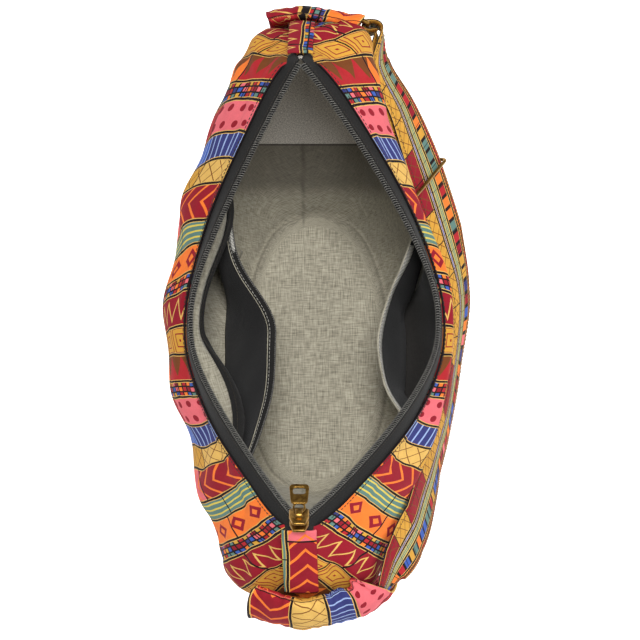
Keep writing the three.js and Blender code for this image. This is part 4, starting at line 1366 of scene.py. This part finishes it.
def plate(name, outline, thickness, place, node=None, body=BODY, hole=None, edge=0.35):
    """A brass plate with soft edges, cut from an outline, with a hole of as many points."""
    half = thickness / 2
    loops = [(outline, -half), (outline, half)]
    if hole is not None:
        loops += [(hole, half), (hole, -half)]
    sections = np.array([np.column_stack((loop, np.full(len(loop), z))) for loop, z in loops])
    closed = hole is not None
    soften(tube(name, in_frame(sections, place), BRASS, node, closed, body=body), edge)


def build_crown(name, crown, base, place):
    """The low arch on a slider that holds its pull."""
    width, height, length, wire = crown
    turns = np.linspace(math.pi, 0, 19)
    spine = np.stack((
        (length - wire) / 2 * np.sign(np.cos(turns)) * np.abs(np.cos(turns)) ** 0.6,
        base - CROWN_ROOT + (height - wire / 2 + CROWN_ROOT) * np.sin(turns) ** 0.5,
    ), axis=1)
    tangents = directions(spine)
    out = np.stack((-tangents[:, 1], tangents[:, 0]), axis=1) * wire / 2
    corners = ((-1, -1), (1, -1), (1, 1), (-1, 1))
    sections = np.stack([
        np.column_stack((np.full(len(spine), side * width / 2), spine + out * face)) for side, face in corners
    ], axis=1)
    soften(tube(name, in_frame(sections, place), BRASS), 0.3)


def build_pull(name, pull, crown, place, body, node):
    """A pull: a slotted tab that narrows to the eye, and the eye's wire round the crown."""
    width, length, thickness, slot_length, slot_width, eye = pull
    outline = rounded_rectangle(width, length - eye, width / 5) + np.array((0, (length + eye) / 2))
    outline[:, 0] *= 1 - PULL_TAPER * smoothstep(-outline[:, 1], -length * 0.75, -eye)
    slot = rounded_rectangle(slot_width, slot_length, slot_length / 3) + np.array((0, length - slot_length))
    plate(f"{name}_tab", outline, thickness, place, node, body, slot)
    eye_width = crown[0] + 2 * EYE_PLAY + EYE_WIRE
    eye_length = eye + EYE_LAP
    loop = rounded_rectangle(eye_width, eye_length, eye_width * 0.45) + np.array((0, eye_length / 2))
    wire_loop(f"{name}_eye", loop, place, EYE_WIRE * 1.1, sides=10, body=body)


def slider_outline(width, length):
    right = [(x * width / 2, y * length / 2) for x, y in SLIDER_CORNERS]
    left = [(-x, y) for x, y in reversed(right)]
    return np.array(right + left)


def build_mouth_slider():
    zip_end = plain_point(-90.0, ZIP_LEVEL)
    place = tilted(zip_end + np.array((0, SLIDER_FORWARD, SLIDER_UP)), SLIDER_TILT)
    top = SLIDER_HEIGHT / 2
    outline = slider_outline(SLIDER_WIDTH, SLIDER_LENGTH)
    level = top - SLIDER_PLATE / 2
    plate("mouth_slider_top", outline, SLIDER_PLATE, moved(place, 0, 0, level), "zip_slider", edge=0.8)
    base_outline = outline * SLIDER_BASE_SCALE
    plate("mouth_slider_base", base_outline, SLIDER_PLATE, moved(place, 0, 0, -level), edge=0.6)
    post = rounded_rectangle(*POST)
    plate("mouth_slider_post", post, SLIDER_HEIGHT - SLIDER_PLATE, moved(place, 0, POST_FORWARD, 0))
    build_crown("mouth_slider_crown", CROWN, top, place)
    hinge = in_frame((0, CROWN[2] / 2 - CROWN[3] - EYE_WIRE, top + EYE_LIFT), place)
    build_pull("mouth_pull", PULL, CROWN, tilted(hinge, PULL_DROOP), "mouth_pull", "zip_pull")


def build_pocket_slider():
    angle = np.array(POCKET_SLIDER_ANGLE)
    level = np.array(POCKET_SLIDER_LEVEL)
    normal = normal_of(cloth_point, angle, level)
    up = up_the_cloth(angle, level)
    place = (inside(angle, level, POCKET_SLIDER_DEPTH), up, np.cross(up, normal), -normal)
    width, length, thickness = POCKET_SLIDER_SIZE
    plate("pocket_slider_body", slider_outline(width, length), thickness, place, "pocket_slider", edge=0.6)
    build_crown("pocket_slider_crown", POCKET_CROWN, thickness / 2, place)
    hinge = moved(place, 0, 0, thickness / 2 + EYE_LIFT)
    build_pull("pocket_pull", POCKET_PULL, POCKET_CROWN, hinge, "inner_pull", "pocket_pull")


build_mouth_slider()
build_pocket_slider()

# Strap, its ring and its adjuster

STRAP_THICKNESS = 2.2
STRAP_LAYER = 1.45
STRAP_SLACK = 0.35
STRAP_TAIL = 12
STRAP_STEPS = 24
STRAP_COLUMNS = 15
RING_TURN_STEPS = 16
ADJUSTER_TURN_STEPS = 14
TAIL_STEPS = 12
STRAP_EDGE_THINNING = 0.75
STRAP_SWAY = 0.175
# The stitch rows lie this share of the width to each side of the middle
STRAP_SEAM = 0.42
STRAP_THREAD_LIFT = 0.05
STRAP_PRINT_WIDTH = 41.8
STRAP_PRINT_MIDDLE = 21
# length, pitch and radius
STRAP_STITCH = (2.2, 3.2, 0.22)
RING_WIRE = 3.5
RING_ALONG = 30
RING_ACROSS = 28
RING_OUTSIDE = 14
RING_CORNER = 4
RING_IN_SLEEVE = 12
ADJUSTER_WIRE = 2.6
ADJUSTER_INSIDE = 45
ADJUSTER_CORNER = 2.6
ADJUSTER_STATION = 10
# x, y, z, the direction across the strap and its width
STRAP_ROUTE = (
    (51.4, -174, 184, 0.58, -0.23, -0.78, 30),
    (66, -148, 152, 0.4, -0.25, -0.88, 38),
    (77, -118, 114, 0.33, -0.18, -0.93, 42),
    (87.3, -86, 77, 0.22, -0.12, -0.97, 42),
    (98, -50, 43, 0.22, -0.1, -0.97, 42),
    (105.5, -8, 31, 0.28, 0, -0.96, 42),
    (108.4, 34, 49, 0.38, 0.1, -0.92, 42),
    (97, 72, 78, 0.6, 0.18, -0.78, 42),
    (80.5, 110, 112, 0.6, 0.27, -0.75, 42),
    (60.5, 147, 153, 0.5, 0.31, -0.8, 38),
    (44, 173, 178, 0.5, 0.35, -0.79, 29),
)
SLEEVED = 14
SLEEVED_WIDTHS = (25, 27)
RING_APPROACH = 7
RING_WIDTHS = (22, 19.5)


def casing_side(x, end, turn, depth):
    return casing_ring(x, end, np.array([turn]), depth, 1.0)[0]


def casing_centre(x, end):
    return (casing_side(x, end, math.pi / 2, CANVAS) + casing_side(x, end, -math.pi / 2, CANVAS)) / 2


def sleeve_across(x, end):
    return unit(casing_side(x, end, math.pi, 0.0) - casing_side(x, end, 0.0, 0.0))


RING_X = CASING_ENDS["far"][2]
NEAR_X = CASING_ENDS["near"][2]
ring_seat = casing_centre(RING_X, 1)
ring_out = unit(ring_seat - casing_centre(RING_X - RING_IN_SLEEVE, 1))
sleeve_down = sleeve_across(RING_X, 1)
ring_bar = ring_seat + ring_out * RING_OUTSIDE
ring_centre = ring_seat + ring_out * (RING_OUTSIDE - RING_ALONG / 2)

stations = [
    (casing_centre(x, -1), sleeve_across(x, -1), width)
    for x, width in zip((NEAR_X - SLEEVED, NEAR_X), SLEEVED_WIDTHS)
]
for row in STRAP_ROUTE:
    stations.append((np.array(row[:3], float), unit(np.array(row[3:6])), row[6]))
stations.append((ring_bar + ring_out * RING_APPROACH, sleeve_down, RING_WIDTHS[0]))
stations.append((ring_bar, sleeve_down, RING_WIDTHS[1]))
LAST_STATION = len(stations) - 1


def strap_curve(station):
    """A point of the curve through the stations, with knots spaced by the square root of the distances."""
    places = [row[0] for row in stations]
    before = places[0] * 2 - places[1]
    after = places[-1] * 2 - places[-2]
    places = [before] + places + [after]
    i = min(int(station), LAST_STATION - 1)
    t = station - i
    p0, p1, p2, p3 = places[i:i + 4]
    d1, d2, d3 = (math.sqrt(np.linalg.norm(b - a)) for a, b in ((p0, p1), (p1, p2), (p2, p3)))
    start = ((p1 - p0) / d1 - (p2 - p0) / (d1 + d2) + (p2 - p1) / d2) * d2
    finish = ((p2 - p1) / d2 - (p3 - p1) / (d2 + d3) + (p3 - p2) / d3) * d2
    c2 = -3 * p1 + 3 * p2 - 2 * start - finish
    c3 = 2 * p1 - 2 * p2 + start + finish
    return p1 + start * t + c2 * t * t + c3 * t ** 3


def strap_frame(station):
    """The strap's point, direction, direction across, width and face at a station."""
    if station >= LAST_STATION:
        point, across, width = stations[-1]
        return point, -ring_out, across, width, np.cross(across, -ring_out)
    step = 0.01
    ahead = strap_curve(min(station + step, LAST_STATION - 1e-6))
    tangent = unit(ahead - strap_curve(max(station - step, 0)))
    i = int(station)
    across, width = (lerp(stations[i][k], stations[i + 1][k], station - i) for k in (1, 2))
    across = unit(across - tangent * np.dot(across, tangent))
    return strap_curve(station), tangent, across, width, np.cross(across, tangent)


RING_LOOP = RING_WIRE / 2 + STRAP_SLACK + STRAP_THICKNESS / 2
ADJUSTER_LOOP = ADJUSTER_WIRE / 2 + STRAP_SLACK + STRAP_THICKNESS / 2
ADJUSTER_BAR = STRAP_LAYER + ADJUSTER_LOOP


def layer_offset(station):
    return lerp(STRAP_LAYER, RING_LOOP, smoothstep(station, LAST_STATION - 2, LAST_STATION))


def strap_path():
    """Points of the strap's middle, its direction across and its width, from the near sleeve to its tail."""
    rows = []

    def put(strap_place, face_offset, along_offset=0.0):
        point, tangent, across, width, face = strap_place
        rows.append((point + face * face_offset + tangent * along_offset, across, width))
    last_step = LAST_STATION * STRAP_STEPS
    for k in range(last_step + 1):
        put(strap_frame(k / STRAP_STEPS), layer_offset(k / STRAP_STEPS))
    for turn in np.linspace(0, math.pi, RING_TURN_STEPS)[1:-1]:
        put(strap_frame(LAST_STATION), RING_LOOP * math.cos(turn), RING_LOOP * math.sin(turn))
    for k in range(last_step, ADJUSTER_STATION * STRAP_STEPS - 1, -1):
        put(strap_frame(k / STRAP_STEPS), -layer_offset(k / STRAP_STEPS))
    place = strap_frame(ADJUSTER_STATION)
    for turn in np.linspace(0, math.pi, ADJUSTER_TURN_STEPS)[1:]:
        put(place, -ADJUSTER_BAR + ADJUSTER_LOOP * math.cos(turn), -ADJUSTER_LOOP * math.sin(turn))
    rest = -STRAP_LAYER - STRAP_THICKNESS - STRAP_SLACK
    for share in np.linspace(0, 1, TAIL_STEPS)[1:]:
        put(place, lerp(-ADJUSTER_BAR - ADJUSTER_LOOP, rest, share), STRAP_TAIL * share)
    return rows


def build_strap():
    points, across, widths = (np.array(column) for column in zip(*strap_path()))
    faces = unit(np.cross(across, directions(points)))
    along = arc_lengths(points)[:, None]
    share = np.linspace(-0.5, 0.5, STRAP_COLUMNS)
    half = STRAP_THICKNESS / 2 * (1 - STRAP_EDGE_THINNING * (2 * np.abs(share)) ** 6)
    outline = np.concatenate((share, share[::-1]))
    lift = np.concatenate((half, -half[::-1]))
    sway = STRAP_SWAY * np.sin(along / 11 + outline * 3) * np.cos(outline * np.pi)
    sections = (
        points[:, None]
        + across[:, None] * (outline * widths[:, None])[..., None]
        + faces[:, None] * (lift + sway)[..., None]
    )
    uv = flat_place(outline * STRAP_PRINT_WIDTH + STRAP_PRINT_MIDDLE, along)
    tube("shoulder_strap", sections, STRAP_PRINT, "strap", uv=uv)
    single = slice(LAST_STATION * STRAP_STEPS)
    on_face = faces * (STRAP_THICKNESS / 2 + STRAP_THREAD_LIFT)
    for name, place in (("inner", -STRAP_SEAM), ("outer", STRAP_SEAM)):
        line = points + across * (place * widths)[:, None] + on_face
        stitch_row(f"strap_stitches_{name}", line[single], faces[single], DARK_THREAD, STRAP_STITCH)


build_strap()
ring_outline = rounded_rectangle(RING_ALONG, RING_ACROSS, RING_CORNER)
wire_loop("ring_wire", ring_outline, (ring_centre, ring_out, sleeve_down), RING_WIRE, "strap_ring")
adjuster_point, _, adjuster_across, _, adjuster_face = strap_frame(ADJUSTER_STATION)
adjuster_outline = rounded_rectangle(ADJUSTER_INSIDE + ADJUSTER_WIRE, 2 * ADJUSTER_BAR, ADJUSTER_CORNER)
adjuster_place = (adjuster_point, adjuster_across, adjuster_face)
wire_loop("adjuster_wire", adjuster_outline, adjuster_place, ADJUSTER_WIRE, "strap_slider")

# Floor, light and camera

FLOOR_SIZE = 6.0
FLOOR_GLOW = 0.85
FLOOR_WHITE = (0.94, 0.94, 0.94, 1)
WHITE = (1, 1, 1, 1)
ROOM_LIGHT = 0.26
# name, place, size and power, in metres and watts
LIGHTS = (("key_light", (0.06, 0.1, 2.4), 0.8, 58.0), ("fill_light", (1.5, -0.9, 1.2), 1.2, 12.0))
LIGHT_AIM = (0, 0, 0.1)
TARGET = (3.0, -13.0, 200.0)
DISTANCE = 1150.0
ELEVATION = 79.0
FOCAL_PIXELS = 1725.0
PICTURE_PIXELS = 640.0


def build_stage():
    half = FLOOR_SIZE / 2
    mesh = bpy.data.meshes.new("floor")
    corners = [(x * half, y * half, 0) for x, y in ((-1, -1), (1, -1), (1, 1), (-1, 1))]
    mesh.from_pydata(corners, [], [(0, 1, 2, 3)])
    white, _ = new_material("floor_white", {
        "Base Color": FLOOR_WHITE, "Roughness": 0.9, "Emission Color": WHITE, "Emission Strength": FLOOR_GLOW,
    })
    mesh.materials.append(white)
    floor = add_object("floor", mesh)
    world = bpy.data.worlds.new("soft_room")
    world.use_nodes = True
    background = world.node_tree.nodes["Background"]
    background.inputs[0].default_value = WHITE
    background.inputs[1].default_value = ROOM_LIGHT
    bpy.context.scene.world = world
    for name, place, size, power in LIGHTS:
        light = bpy.data.lights.new(name, "AREA")
        light.size = size
        light.energy = power
        lamp = add_object(name, light)
        lamp.location = place
        aim = Vector(LIGHT_AIM) - Vector(place)
        lamp.rotation_euler = aim.to_track_quat("-Z", "Y").to_euler()


def build_camera():
    data = bpy.data.cameras.new("camera")
    data.sensor_width = 36.0
    data.lens = FOCAL_PIXELS / PICTURE_PIXELS * data.sensor_width
    camera = add_object("camera", data)
    rise = math.radians(ELEVATION)
    place = np.array(TARGET) + DISTANCE * np.array((0, -math.cos(rise), math.sin(rise)))
    camera.location = Vector(place * MM)
    camera.rotation_euler = (math.radians(90 - ELEVATION), 0, 0)
    bpy.context.scene.camera = camera


build_stage()
build_camera()
bpy.context.scene.view_settings.view_transform = "Standard"
